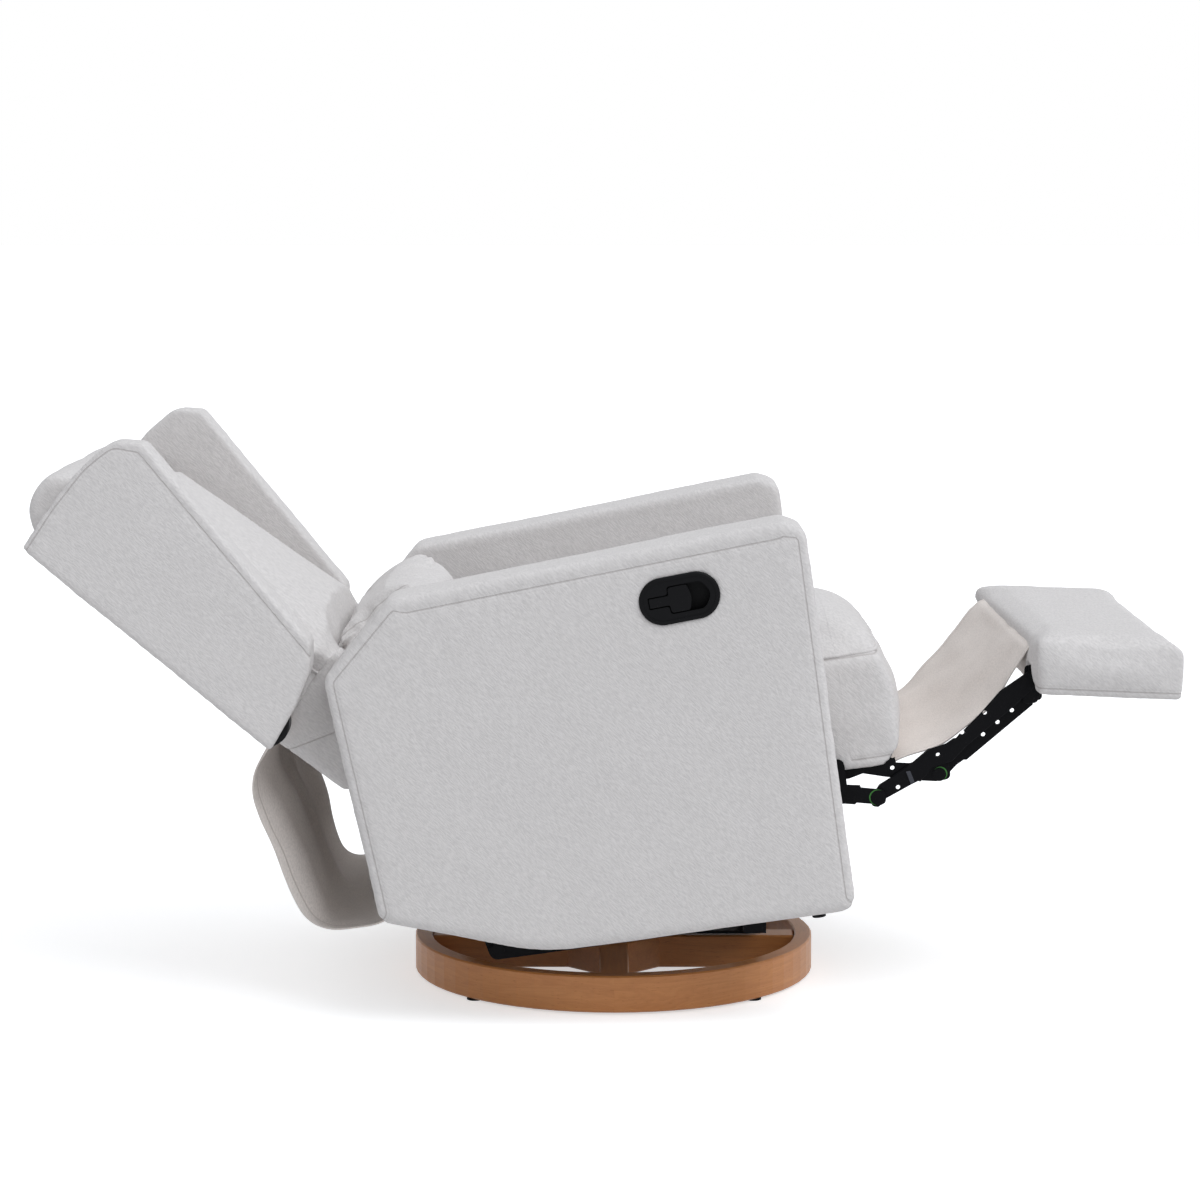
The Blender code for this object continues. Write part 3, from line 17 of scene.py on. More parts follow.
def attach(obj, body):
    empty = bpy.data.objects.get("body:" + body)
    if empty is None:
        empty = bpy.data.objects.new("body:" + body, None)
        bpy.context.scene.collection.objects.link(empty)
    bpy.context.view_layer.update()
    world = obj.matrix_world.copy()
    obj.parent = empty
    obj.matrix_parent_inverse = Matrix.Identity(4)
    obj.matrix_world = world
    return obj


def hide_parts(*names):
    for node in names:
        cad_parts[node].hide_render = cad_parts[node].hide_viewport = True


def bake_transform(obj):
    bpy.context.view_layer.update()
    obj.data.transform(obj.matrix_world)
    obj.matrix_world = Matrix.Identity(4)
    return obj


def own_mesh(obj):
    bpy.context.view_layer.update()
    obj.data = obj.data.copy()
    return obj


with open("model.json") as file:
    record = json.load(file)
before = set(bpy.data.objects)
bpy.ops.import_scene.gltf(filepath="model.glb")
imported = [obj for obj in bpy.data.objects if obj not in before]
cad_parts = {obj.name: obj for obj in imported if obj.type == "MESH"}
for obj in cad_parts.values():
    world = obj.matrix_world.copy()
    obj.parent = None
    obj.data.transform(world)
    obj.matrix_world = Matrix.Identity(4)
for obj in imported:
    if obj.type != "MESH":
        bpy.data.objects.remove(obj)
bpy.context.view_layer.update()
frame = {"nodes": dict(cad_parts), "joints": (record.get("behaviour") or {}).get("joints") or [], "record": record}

bl_info = {
    "name": "Glider Recliner",
    "version": (1, 0, 0),
    "blender": (4, 5, 0),
    "location": "3D View > Sidebar > Recliner",
    "description": "Dresses the frame of a glider recliner in cloth, wood, steel and plastic",
    "category": "Add Mesh",
}

SIDES = (("right", -1), ("left", 1))

# How the chair stands: it lies at the back stop of its glide, with the back let down
TILT_DEG = 8.0
TILT_HEIGHT = 0.10
BACK_LEAN_DEG = 31.4
PAD_LEAN_DEG = 11.4
PAD_ORIGIN = (-0.170, 0.200)
FOOTREST_SLOPE_DEG = 10.3
HANDLE_PLACE = (0.148, 0.557)
HANDLE_SLOPE_DEG = 3.0

# Outlines as shares of length and height, with corner radii
ARM_SHARES = (
    (0.04, 0.135), (0.215, 0.062, 0.3), (0.36, 0.0, 0.6), (1.0, 0.0),
    (1.0, 0.975), (0.955, 1.0), (0.156, 0.942), (0.0, 0.765),
)
ARM_CORNER = 0.022
ARM_ROUNDING = 0.011
ARM_OUTSET = (0.004, 0.004, 0.001, 0.002)
WING_SHARES = (
    (0.372, 0.0, 0.02), (0.66, 0.05, 0.3), (0.88, 0.105, 0.1), (1.0, 0.17, 0.05),
    (1.0, 0.935, 0.05), (0.86, 1.0, 0.12), (0.6, 0.998, 0.2), (0.3, 0.968, 0.2), (0.0, 0.925, 0.02),
)
WING_ROUNDING = 0.012
WING_OUTSET = (0.006, 0.006, 0.006, 0.001)
WING_TOP_INSET = 0.006
DUST_COVER_SHARE = 0.72
DUST_COVER_TUCK = 0.004
DUST_COVER_SAG = 0.0085
DUST_COVER_WIDTH = 0.05
FILLET_STEPS = 6
FILLET_LIMIT_SHARE = 0.47
SHARP_ANGLE = 1.2

# Seams: an attribute holds the distance from a seam, shifted so that cloth without one reads as far away
SEAM_ZERO = 0.05
SEAM_REACH = 0.045
GROOVE_WIDTH = 0.0032
PUCKER_REACH = 0.014

# Flaps: routes between their two ends as shares, forward and up
REAR_ROUTE_SHARES = (
    (0.0, 1.0), (-0.14, 0.76), (-0.15, 0.52), (-0.08, 0.21), (-0.02, -0.07), (0.05, -0.21),
    (0.17, -0.28), (0.33, -0.29), (0.52, -0.27), (0.78, -0.15), (1.0, 0.0),
)
FRONT_NEAR_ROUTE = (
    (0.345, 0.2745), (0.37, 0.274), (0.393, 0.2765), (0.4205, 0.2835), (0.4507, 0.2895), (0.4768, 0.2965),
    (0.5038, 0.3095), (0.532, 0.331), (0.5573, 0.358), (0.5771, 0.381), (0.59, 0.397), (0.5995, 0.4075),
    (0.611, 0.412),
)
FRONT_FAR_ROUTE = (
    (0.345, 0.2745), (0.37, 0.274), (0.393, 0.278), (0.42, 0.288), (0.4572, 0.306), (0.4796, 0.32),
    (0.5053, 0.3422), (0.5342, 0.368), (0.549, 0.379), (0.563, 0.39), (0.577, 0.402), (0.5875, 0.4125),
    (0.6, 0.417),
)


def linear(text):
    """The linear colour of an sRGB hex value."""
    parts = [int(text[place:place + 2], 16) / 255 for place in (1, 3, 5)]
    return tuple(part / 12.92 if part <= 0.04045 else ((part + 0.055) / 1.055) ** 2.4 for part in parts)


class ReclinerSizes(bpy.types.PropertyGroup):
    """Sizes of the upholstery that a maker would choose."""

    seam_inset: FloatProperty(
        name="Seam inset", description="Distance of a panel's seam from its edge",
        default=0.012, min=0.004, max=0.04, unit="LENGTH",
    )
    top_seam_inset: FloatProperty(
        name="Top seam inset", description="Depth of the band along the top of an arm",
        default=0.021, min=0.004, max=0.05, unit="LENGTH",
    )
    seam_depth: FloatProperty(
        name="Seam depth", description="How deep a seam draws the cloth in",
        default=0.0013, min=0.0, max=0.004, unit="LENGTH",
    )
    welt_radius: FloatProperty(
        name="Welt radius", description="Radius of the welt sewn into a cushion's seam",
        default=0.0026, min=0.0005, max=0.005, unit="LENGTH",
    )
    panel_crown: FloatProperty(
        name="Panel crown", description="How far the padding lifts the face of an arm or a wing",
        default=0.0028, min=0.0, max=0.01, unit="LENGTH",
    )
    stroke_width: FloatProperty(
        name="Slub width", description="Width of a slub in the woven upholstery",
        default=0.0017, min=0.0005, max=0.01, unit="LENGTH",
    )
    stroke_length: FloatProperty(
        name="Slub length", description="Length of a slub in the woven upholstery",
        default=0.008, min=0.001, max=0.05, unit="LENGTH",
    )


class ReclinerColours(bpy.types.PropertyGroup):
    """Colours of the finishes."""

    cloth: FloatVectorProperty(
        name="Upholstery", description="Woven upholstery",
        subtype="COLOR", default=linear("#D3CFCD"),
    )
    lining: FloatVectorProperty(
        name="Lining", description="Plain cloth of the flaps",
        subtype="COLOR", default=linear("#E6DDD6"),
    )
    birch_light: FloatVectorProperty(
        name="Birch, light", description="Early wood of the birch",
        subtype="COLOR", default=linear("#CF8C4D"),
    )
    birch_dark: FloatVectorProperty(
        name="Birch, dark", description="Late wood of the birch",
        subtype="COLOR", default=linear("#AC672F"),
    )
    steel: FloatVectorProperty(
        name="Enamel", description="Black enamel on the steel",
        subtype="COLOR", default=linear("#060608"),
    )
    plastic: FloatVectorProperty(
        name="Black plastic", description="Moulded black plastic",
        subtype="COLOR", default=linear("#08080A"),
    )


def at(forward, up, side=0.0):
    """A place of a tilted frame, or of the row frame."""
    return Vector((side, -forward, up))


def joint_place(name):
    """Where a joint of the frame is."""
    return Vector(next(joint["pos_m"] for joint in frame["joints"] if joint["name"] == name))


def turned(degrees):
    """A turn about the side axis, which lifts the front for a negative angle."""
    return Matrix.Rotation(math.radians(degrees), 4, "X")


TILT_AXLE = Matrix.Translation((0, 0, TILT_HEIGHT))
CHAIR = TILT_AXLE @ turned(-TILT_DEG) @ TILT_AXLE.inverted()
BACK = Matrix.Translation(joint_place("recline")) @ turned(-TILT_DEG - BACK_LEAN_DEG)
PAD = BACK @ Matrix.Translation(at(*PAD_ORIGIN)) @ turned(-PAD_LEAN_DEG)
FOOTREST = Matrix.Translation(joint_place("footrest_turn")) @ turned(FOOTREST_SLOPE_DEG - TILT_DEG)


def extent(node, place):
    """Lowest and highest (side, forward, up) of a node of the frame, in one of the tilted frames."""
    back = place.inverted()
    local = [back @ vert.co for vert in frame["nodes"][node].data.vertices]
    spread = [(point.x, -point.y, point.z) for point in local]
    return [min(column) for column in zip(*spread)], [max(column) for column in zip(*spread)]


# Materials

def add_node(tree, kind, inputs, output=0, **settings):
    """Adds a node, sets its properties, sets or links its inputs, and returns one of its outputs."""
    made = tree.nodes.new(kind)
    for name, value in settings.items():
        setattr(made, name, value)
    for name, value in inputs.items():
        socket = made.inputs[name]
        if isinstance(value, bpy.types.NodeSocket):
            tree.links.new(value, socket)
        elif socket.type == "RGBA":
            socket.default_value = (*value[:3], 1.0)
        else:
            socket.default_value = value
    return made.outputs[output]


def new_material(name, **inputs):
    """A material with only its shader, whose sockets are named with _ for a space.

    Returns it, its tree and its shader.
    """
    made = bpy.data.materials.new(name)
    made.use_nodes = True
    shader = made.node_tree.nodes["Principled BSDF"]
    for socket, value in inputs.items():
        shader.inputs[socket.replace("_", " ")].default_value = value
    return made, made.node_tree, shader


def per_mm(size):
    """Scale of a noise whose features are a size in millimetres."""
    return 1000.0 / size


def finish_material(made, tree, shader, tone, height):
    """Puts a colour and a height in metres on the shader."""
    bump = add_node(tree, "ShaderNodeBump", {"Height": height, "Distance": 1.0, "Strength": 1.0})
    tree.links.new(tone, shader.inputs["Base Color"])
    tree.links.new(bump, shader.inputs["Normal"])
    return made


def seam_line(tree, attribute, offset, half_width):
    """1 on a line that runs beside a seam, falling to 0 at twice its half width."""
    stored = add_node(tree, "ShaderNodeAttribute", {}, "Fac", attribute_name=attribute)
    shifted = add_node(tree, "ShaderNodeMath", {0: stored, 1: SEAM_ZERO + offset}, operation="SUBTRACT")
    away = add_node(tree, "ShaderNodeMath", {0: shifted}, operation="ABSOLUTE")
    return add_node(
        tree, "ShaderNodeMapRange",
        {"Value": away, "From Min": half_width, "From Max": 2 * half_width, "To Min": 1.0, "To Max": 0.0},
        interpolation_type="SMOOTHSTEP",
    )


# Seams on the cloth: half width of the seam and of its thread, distance between them, stitch and gap
SEAM_HALF_WIDTH = 0.0005
SEAM_DEPTH_SEEN = 0.0007
THREAD_OFFSET = 0.0045
THREAD_HALF_WIDTH = 0.0004
STITCH_PITCH = 0.004654
STITCH_SHARE = -0.3


def cloth_material(name, colour, slant_deg, stroke, relief, seams=True):
    """Woven polyester: slubs along one slant over a fine weave.

    To the eye it is soft and matt, pale with small slanted flecks and a faint sheen at a low angle.
    Along each seam a darker, warmer line of painted shade stands for the shade in its groove, and the
    dashes of its stitching beside it are darkened towards the same painted shade. The slubs are drawn
    about twice as wide as real ones, because those are too fine to show.
    """
    made, tree, shader = new_material(
        name, Roughness=0.94, Sheen_Weight=0.12, Sheen_Roughness=0.5, Specular_IOR_Level=0.2
    )
    place = add_node(tree, "ShaderNodeTexCoord", {}, "Object")
    width, length = stroke
    slanted = add_node(
        tree, "ShaderNodeMapping",
        {"Vector": place, "Rotation": (math.radians(slant_deg), 0, 0), "Scale": (width * 3, length, width)},
        vector_type="TEXTURE",
    )
    slubs = add_node(
        tree, "ShaderNodeTexNoise", {"Vector": slanted, "Scale": 1.0, "Detail": 2.0, "Distortion": 0.6}
    )
    slubs = add_node(tree, "ShaderNodeMapRange", {"Value": slubs, "From Min": 0.36, "From Max": 0.66})
    grid = add_node(
        tree, "ShaderNodeMapping", {"Vector": place, "Scale": (width, width, width)}, vector_type="TEXTURE"
    )
    weave = add_node(
        tree, "ShaderNodeTexNoise", {"Vector": grid, "Scale": 1.4, "Detail": 1.0, "Roughness": 0.4}
    )
    broad = add_node(tree, "ShaderNodeTexNoise", {"Vector": place, "Scale": per_mm(111.1), "Detail": 2.0})
    broad = add_node(tree, "ShaderNodeMath", {0: broad, 1: 0.22}, operation="MULTIPLY")
    shade = [part * 0.9 for part in colour]
    light = [min(1.0, part * 1.06) for part in colour]
    tone = add_node(tree, "ShaderNodeMix", {0: slubs, 6: light, 7: shade}, 2, data_type="RGBA")
    tone = add_node(tree, "ShaderNodeMix", {0: broad, 6: tone, 7: shade}, 2, data_type="RGBA")
    height = add_node(tree, "ShaderNodeMath", {0: slubs, 1: relief}, operation="MULTIPLY")
    height = add_node(
        tree, "ShaderNodeMath", {0: weave, 1: relief * 0.5, 2: height}, operation="MULTIPLY_ADD"
    )
    if seams:
        # Painted shade: a darker, warmer colour standing for the shade and warm bounce light in a seam's groove
        seam_shade = [part * factor for part, factor in zip(colour, (0.6, 0.56, 0.54))]
        stitched = add_node(tree, "ShaderNodeAttribute", {}, "Fac", attribute_name="along")
        dash = add_node(
            tree, "ShaderNodeMath", {0: stitched, 1: math.tau / STITCH_PITCH}, operation="MULTIPLY"
        )
        dash = add_node(tree, "ShaderNodeMath", {0: dash}, operation="SINE")
        dash = add_node(tree, "ShaderNodeMath", {0: dash, 1: STITCH_SHARE}, operation="GREATER_THAN")
        dash = add_node(tree, "ShaderNodeMath", {0: dash, 1: 0.18}, operation="MULTIPLY")
        # Each seam gets a line of painted shade on its groove, and stitch dashes darkened with the same painted
        # shade
        for attribute in ("seam_a", "seam_b"):
            line = seam_line(tree, attribute, 0.0, SEAM_HALF_WIDTH)
            share = add_node(tree, "ShaderNodeMath", {0: line, 1: 0.45}, operation="MULTIPLY")
            tone = add_node(tree, "ShaderNodeMix", {0: share, 6: tone, 7: seam_shade}, 2, data_type="RGBA")
            height = add_node(
                tree, "ShaderNodeMath", {0: line, 1: -SEAM_DEPTH_SEEN, 2: height}, operation="MULTIPLY_ADD"
            )
            thread = seam_line(tree, attribute, THREAD_OFFSET, THREAD_HALF_WIDTH)
            thread = add_node(tree, "ShaderNodeMath", {0: thread, 1: dash}, operation="MULTIPLY")
            tone = add_node(tree, "ShaderNodeMix", {0: thread, 6: tone, 7: seam_shade}, 2, data_type="RGBA")
    return finish_material(made, tree, shader, tone, height)


# Birch, as sizes along, beside and across the grain: fibres, figure and flecks
RING_GRAIN_RADIUS = 0.28
FIBRE_SIZE = (0.09, 0.0025, 0.0025)
FIGURE_SIZE = (0.22, 0.03, 0.03)
FLECK_SIZE = (0.008, 0.0012, 0.0012)


def birch_material(name, colours, ringed):
    """Birch planed, sanded and lacquered: to the eye warm, with long fine grain and a satin coat.

    Small dark flecks are scattered in it. On the ring the grain follows the curve, because the ring
    is bent from strips. On the beams it runs along whichever beam the point is in.
    """
    made, tree, shader = new_material(name, Roughness=0.42, Coat_Weight=0.15, Coat_Roughness=0.3)
    place = add_node(tree, "ShaderNodeTexCoord", {}, "Object")
    across, back, up = add_node(tree, "ShaderNodeSeparateXYZ", {0: place}).node.outputs
    if ringed:
        turn = add_node(tree, "ShaderNodeMath", {0: back, 1: across}, operation="ARCTAN2")
        run = add_node(tree, "ShaderNodeMath", {0: turn, 1: RING_GRAIN_RADIUS}, operation="MULTIPLY")
        flat = add_node(tree, "ShaderNodeCombineXYZ", {0: across, 1: back})
        beside = add_node(tree, "ShaderNodeVectorMath", {0: flat}, "Value", operation="LENGTH")
    else:
        width = add_node(tree, "ShaderNodeMath", {0: across}, operation="ABSOLUTE")
        depth = add_node(tree, "ShaderNodeMath", {0: back}, operation="ABSOLUTE")
        run = add_node(tree, "ShaderNodeMath", {0: width, 1: depth}, operation="MAXIMUM")
        beside = add_node(tree, "ShaderNodeMath", {0: width, 1: depth}, operation="MINIMUM")
    grain = add_node(tree, "ShaderNodeCombineXYZ", {0: run, 1: beside, 2: up})
    layers = []
    kinds = ((FIBRE_SIZE, 4.0, 0.3), (FIGURE_SIZE, 3.0, 1.2), (FLECK_SIZE, 0.0, 0.0))
    for size, detail, distortion in kinds:
        stretched = add_node(
            tree, "ShaderNodeMapping", {"Vector": grain, "Scale": size}, vector_type="TEXTURE"
        )
        layers.append(add_node(
            tree, "ShaderNodeTexNoise",
            {"Vector": stretched, "Scale": 1.0, "Detail": detail, "Distortion": distortion},
        ))
    fibres, figure, flecks = layers
    rings = add_node(tree, "ShaderNodeMath", {0: figure, 1: 60.0}, operation="MULTIPLY")
    rings = add_node(tree, "ShaderNodeMath", {0: rings}, operation="SINE")
    rings = add_node(tree, "ShaderNodeMath", {0: rings, 1: 0.08, 2: -0.12}, operation="MULTIPLY_ADD")
    share = add_node(tree, "ShaderNodeMath", {0: figure, 1: 0.75, 2: rings}, operation="MULTIPLY_ADD")
    share = add_node(tree, "ShaderNodeMath", {0: fibres, 1: 0.45, 2: share}, operation="MULTIPLY_ADD")
    flecks = add_node(tree, "ShaderNodeMath", {0: flecks, 1: 0.74}, operation="GREATER_THAN")
    share = add_node(tree, "ShaderNodeMath", {0: flecks, 1: 0.35, 2: share}, operation="MULTIPLY_ADD")
    tone = add_node(
        tree, "ShaderNodeMix", {0: share, 6: colours[0], 7: colours[1]}, 2, data_type="RGBA"
    )
    height = add_node(tree, "ShaderNodeMath", {0: fibres, 1: 0.00004}, operation="MULTIPLY")
    return finish_material(made, tree, shader, tone, height)


PLY_PAIR = 0.002856
PLY_FIBRE_SIZE = (0.05, 0.003, 0.003)
WAVE_TURNS = 20.0


def plywood_material():
    """Raw plywood, glued up and sawn: to the eye rough and dry, with thin plies of two tones."""
    made, tree, shader = new_material("raw_plywood", Roughness=0.8)
    place = add_node(tree, "ShaderNodeTexCoord", {}, "Object")
    plies = add_node(
        tree, "ShaderNodeTexWave",
        {"Vector": place, "Scale": math.tau / WAVE_TURNS / PLY_PAIR, "Distortion": 0.6, "Detail": 2.0}, 1,
        bands_direction="Z",
    )
    fibre = add_node(
        tree, "ShaderNodeMapping", {"Vector": place, "Scale": PLY_FIBRE_SIZE}, vector_type="TEXTURE"
    )
    fibres = add_node(tree, "ShaderNodeTexNoise", {"Vector": fibre, "Scale": 1.0, "Detail": 4.0})
    share = add_node(tree, "ShaderNodeMath", {0: fibres, 1: 0.6}, operation="MULTIPLY")
    share = add_node(tree, "ShaderNodeMath", {0: plies, 1: 0.4, 2: share}, operation="MULTIPLY_ADD")
    tone = add_node(
        tree, "ShaderNodeMix", {0: share, 6: linear("#CFAE84"), 7: linear("#9C7648")}, 2, data_type="RGBA"
    )
    height = add_node(tree, "ShaderNodeMath", {0: fibres, 1: 0.0002}, operation="MULTIPLY")
    return finish_material(made, tree, shader, tone, height)


def enamel_material(colour):
    """Stamped steel dipped in black enamel: to the eye nearly black, with a dusty, broken gloss."""
    made, tree, shader = new_material("black_enamelled_steel", Specular_IOR_Level=0.08)
    place = add_node(tree, "ShaderNodeTexCoord", {}, "Object")
    peel = add_node(tree, "ShaderNodeTexNoise", {"Vector": place, "Scale": per_mm(2.381), "Detail": 1.0})
    dust = add_node(tree, "ShaderNodeTexNoise", {"Vector": place, "Scale": per_mm(16.67), "Detail": 5.0})
    share = add_node(tree, "ShaderNodeMath", {0: dust, 1: 0.3}, operation="MULTIPLY")
    tone = add_node(
        tree, "ShaderNodeMix", {0: share, 6: colour, 7: linear("#131317")}, 2, data_type="RGBA"
    )
    rough = add_node(tree, "ShaderNodeMath", {0: dust, 1: 0.2, 2: 0.42}, operation="MULTIPLY_ADD")
    tree.links.new(rough, shader.inputs["Roughness"])
    height = add_node(tree, "ShaderNodeMath", {0: peel, 1: 0.0001}, operation="MULTIPLY")
    return finish_material(made, tree, shader, tone, height)


def plastic_material(name, colour, roughness=0.46):
    """Injection moulded plastic from a spark eroded tool: to the eye matt, soft on its edges."""
    made, tree, shader = new_material(name, Roughness=roughness, Specular_IOR_Level=0.1)
    place = add_node(tree, "ShaderNodeTexCoord", {}, "Object")
    grain = add_node(tree, "ShaderNodeTexNoise", {"Vector": place, "Scale": per_mm(0.7143), "Detail": 2.0})
    # The colour turns 1.5 times lighter where the grain noise, and with it the bump, is highest
    grain_peak_tone = [part * 1.5 for part in colour]
    tone = add_node(tree, "ShaderNodeMix", {0: grain, 6: colour, 7: grain_peak_tone}, 2, data_type="RGBA")
    height = add_node(tree, "ShaderNodeMath", {0: grain, 1: 0.00006}, operation="MULTIPLY")
    return finish_material(made, tree, shader, tone, height)


def zinc_material():
    """Zinc plated steel: to the eye grey metal, a little cloudy from the bath."""
    made, tree, shader = new_material("zinc_plated_steel", Metallic=1.0)
    place = add_node(tree, "ShaderNodeTexCoord", {}, "Object")
    cloud = add_node(tree, "ShaderNodeTexNoise", {"Vector": place, "Scale": per_mm(6.667), "Detail": 4.0})
    tone = add_node(
        tree, "ShaderNodeMix", {0: cloud, 6: linear("#B9BABB"), 7: linear("#8E9092")}, 2, data_type="RGBA"
    )
    rough = add_node(tree, "ShaderNodeMath", {0: cloud, 1: 0.3, 2: 0.25}, operation="MULTIPLY_ADD")
    tree.links.new(rough, shader.inputs["Roughness"])
    height = add_node(tree, "ShaderNodeMath", {0: cloud, 1: 0.00002}, operation="MULTIPLY")
    return finish_material(made, tree, shader, tone, height)


FINISHES = {}


def make_finishes(scene):
    """Makes every material once, from the scene's sizes and colours."""
    sizes, colours = scene.recliner_sizes, scene.recliner_colours
    stroke = (sizes.stroke_width, sizes.stroke_length)
    cloth, lining = tuple(colours.cloth), tuple(colours.lining)
    birch = (tuple(colours.birch_light), tuple(colours.birch_dark))
    dust_cover = linear("#0D0D0E")
    FINISHES.update({
        "upholstery": cloth_material("woven_polyester_upholstery", cloth, 42.0, stroke, 0.00022),
        "lining": cloth_material("plain_woven_lining", lining, 90.0, (0.0012, 0.004), 0.00006),
        "ring": birch_material("lacquered_bent_birch", birch, True),
        "beam": birch_material("lacquered_birch_beam", birch, False),
        "plywood": plywood_material(),
        "steel": enamel_material(tuple(colours.steel)),
        "zinc": zinc_material(),
        "plastic": plastic_material("moulded_black_abs", tuple(colours.plastic)),
        "cambric": cloth_material("black_dust_cambric", dust_cover, 0.0, (0.001, 0.002), 0.0001, False),
        "nylon": plastic_material("moulded_green_nylon", linear("#3C6E36"), 0.5),
        "grey": plastic_material("moulded_grey_nylon", linear("#3C3D42"), 0.4),
    })


# Mesh tools

def filleted(corners):
    """Each corner (forward, up, radius) of an outline as the points of its arc."""
    arcs = []
    for index, (forward, up, radius) in enumerate(corners):
        here = Vector((forward, up))
        before = Vector(corners[index - 1][:2]) - here
        after = Vector(corners[(index + 1) % len(corners)][:2]) - here
        half = before.angle(after) / 2
        reach = min(radius / math.tan(half), FILLET_LIMIT_SHARE * min(before.length, after.length))
        start = here + before.normalized() * reach
        end = here + after.normalized() * reach
        shares = [step / FILLET_STEPS for step in range(FILLET_STEPS + 1)]
        arcs.append([start.lerp(here, share).lerp(here.lerp(end, share), share) for share in shares])
    return arcs


def outline_of(corners):
    """The points of an outline given by its corners (forward, up, radius)."""
    return [point for arc in filleted(corners) for point in arc]


def scaled_corners(shares, low, high, radius=0.0):
    """Corners in metres of an outline given in shares of the space from low to high."""
    length, height = high[1] - low[1], high[2] - low[2]
    return [
        (low[1] + along * length, low[2] + rise * height, own[0] * length if own else radius)
        for along, rise, *own in shares
    ]


def outset(low, high, room):
    """A space grown at the rear, front, bottom and top."""
    rear, front, bottom, top = room
    return [low[0], low[1] - rear, low[2] - bottom], [high[0], high[1] + front, high[2] + top]


def round_edges(shape, edges, radius, segments=3):
    """Rounds edges of a mesh to a radius."""
    bmesh.ops.bevel(
        shape, geom=edges, offset=radius, segments=segments, profile=0.5, affect="EDGES", material=-1,
        clamp_overlap=True,
    )


def sharp_edges(shape):
    """The edges where two faces meet at a sharp angle."""
    return [edge for edge in shape.edges if edge.calc_face_angle(0.0) > SHARP_ANGLE]


def slab_form(outline, thickness, rounding, segments=5):
    """A plate with the outline in side view, rounded along both rims."""
    shape = bmesh.new()
    verts = [shape.verts.new(at(point[0], point[1], -thickness / 2)) for point in outline]
    face = shape.faces.new(verts)
    grown = bmesh.ops.extrude_face_region(shape, geom=[face])["geom"]
    moved = [item for item in grown if isinstance(item, bmesh.types.BMVert)]
    bmesh.ops.translate(shape, vec=(thickness, 0, 0), verts=moved)
    bmesh.ops.recalc_face_normals(shape, faces=shape.faces)
    if rounding:
        rim = [
            edge for edge in shape.edges
            if abs(edge.verts[0].co.x - edge.verts[1].co.x) < thickness / 2
        ]
        round_edges(shape, rim, rounding, segments)
    return shape


def to_mesh(shape, name):
    """Turns a bmesh into a mesh and frees it."""
    mesh = bpy.data.meshes.new(name)
    shape.to_mesh(mesh)
    shape.free()
    return mesh


def new_piece(name, mesh, finish):
    """Puts a smooth shaded object with a finish in the scene."""
    made = bpy.data.objects.new(name, mesh)
    bpy.context.scene.collection.objects.link(made)
    mesh.materials.clear()
    mesh.materials.append(FINISHES[finish])
    mesh.shade_smooth()
    return made


def baked(piece):
    """Applies a piece's modifiers to its mesh."""
    graph = bpy.context.evaluated_depsgraph_get()
    mesh = bpy.data.meshes.new_from_object(piece.evaluated_get(graph))
    piece.modifiers.clear()
    piece.data = mesh
    mesh.shade_smooth()
    return mesh


def remeshed(piece, voxel, passes):
    """Rebuilds a closed form from even faces and smooths out their steps."""
    change = piece.modifiers.new("voxels", "REMESH")
    change.mode = "VOXEL"
    change.voxel_size = voxel
    mesh = baked(piece)
    shape = bmesh.new()
    shape.from_mesh(mesh)
    for _ in range(passes):
        bmesh.ops.smooth_vert(
            shape, verts=shape.verts, factor=0.5, use_axis_x=True, use_axis_y=True, use_axis_z=True
        )
    shape.to_mesh(mesh)
    shape.free()
    return mesh


def cut(piece, other, operation="DIFFERENCE"):
    """Cuts another mesh object from a piece, or joins it to the piece, and removes it."""
    change = piece.modifiers.new("cut", "BOOLEAN")
    change.operation = operation
    change.object = other
    change.solver = "EXACT"
    baked(piece)
    bpy.data.objects.remove(other)


def get_points(mesh):
    """Places of a mesh's vertices, one per row."""
    flat = np.zeros(len(mesh.vertices) * 3)
    mesh.vertices.foreach_get("co", flat)
    return flat.reshape(-1, 3)


def set_points(mesh, points):
    """Moves a mesh's vertices to new places."""
    mesh.vertices.foreach_set("co", points.astype(np.float32).ravel())
    mesh.update()


def get_normals(mesh):
    """Directions of a mesh's vertices, one per row."""
    flat = np.zeros(len(mesh.vertices) * 3)
    mesh.vertex_normals.foreach_get("vector", flat)
    return flat.reshape(-1, 3)


def soft_noise(points, *layers):
    """Sum of smooth noises (height, distance between bumps, seed) at each point."""
    return sum(height * wander(points, period, seed) for height, period, seed in layers)


def wander(points, period, seed):
    """Smooth noise between -1 and 1 at each point, with bumps about one period apart."""
    shift = Vector((seed, seed * 1.7, seed * 0.6))
    return np.array([noise.noise(Vector(point) / period + shift) for point in points])


def side_view(points):
    """Forward and up of each point."""
    return np.stack([-points[:, 1], points[:, 2]], axis=1)


def line_distance(points, line):
    """Distance of each point in side view from a line, and the length along it to the nearest place."""
    gap = np.full(len(points), np.inf)
    along = np.zeros(len(points))
    run = 0.0
    for start, end in zip(line, line[1:]):
        start, step = np.array(start), np.array(end) - np.array(start)
        length = np.linalg.norm(step)
        share = np.clip(((points - start) @ step) / length ** 2, 0, 1)
        here = np.linalg.norm(points - start - share[:, None] * step, axis=1)
        nearer = here < gap
        gap[nearer] = here[nearer]
        along[nearer] = run + share[nearer] * length
        run += length
    return gap, along


def store(mesh, name, values):
    """Keeps a value for each vertex, for a material to read."""
    made = mesh.attributes.new(name, "FLOAT", "POINT")
    made.data.foreach_set("value", values.astype(np.float32))


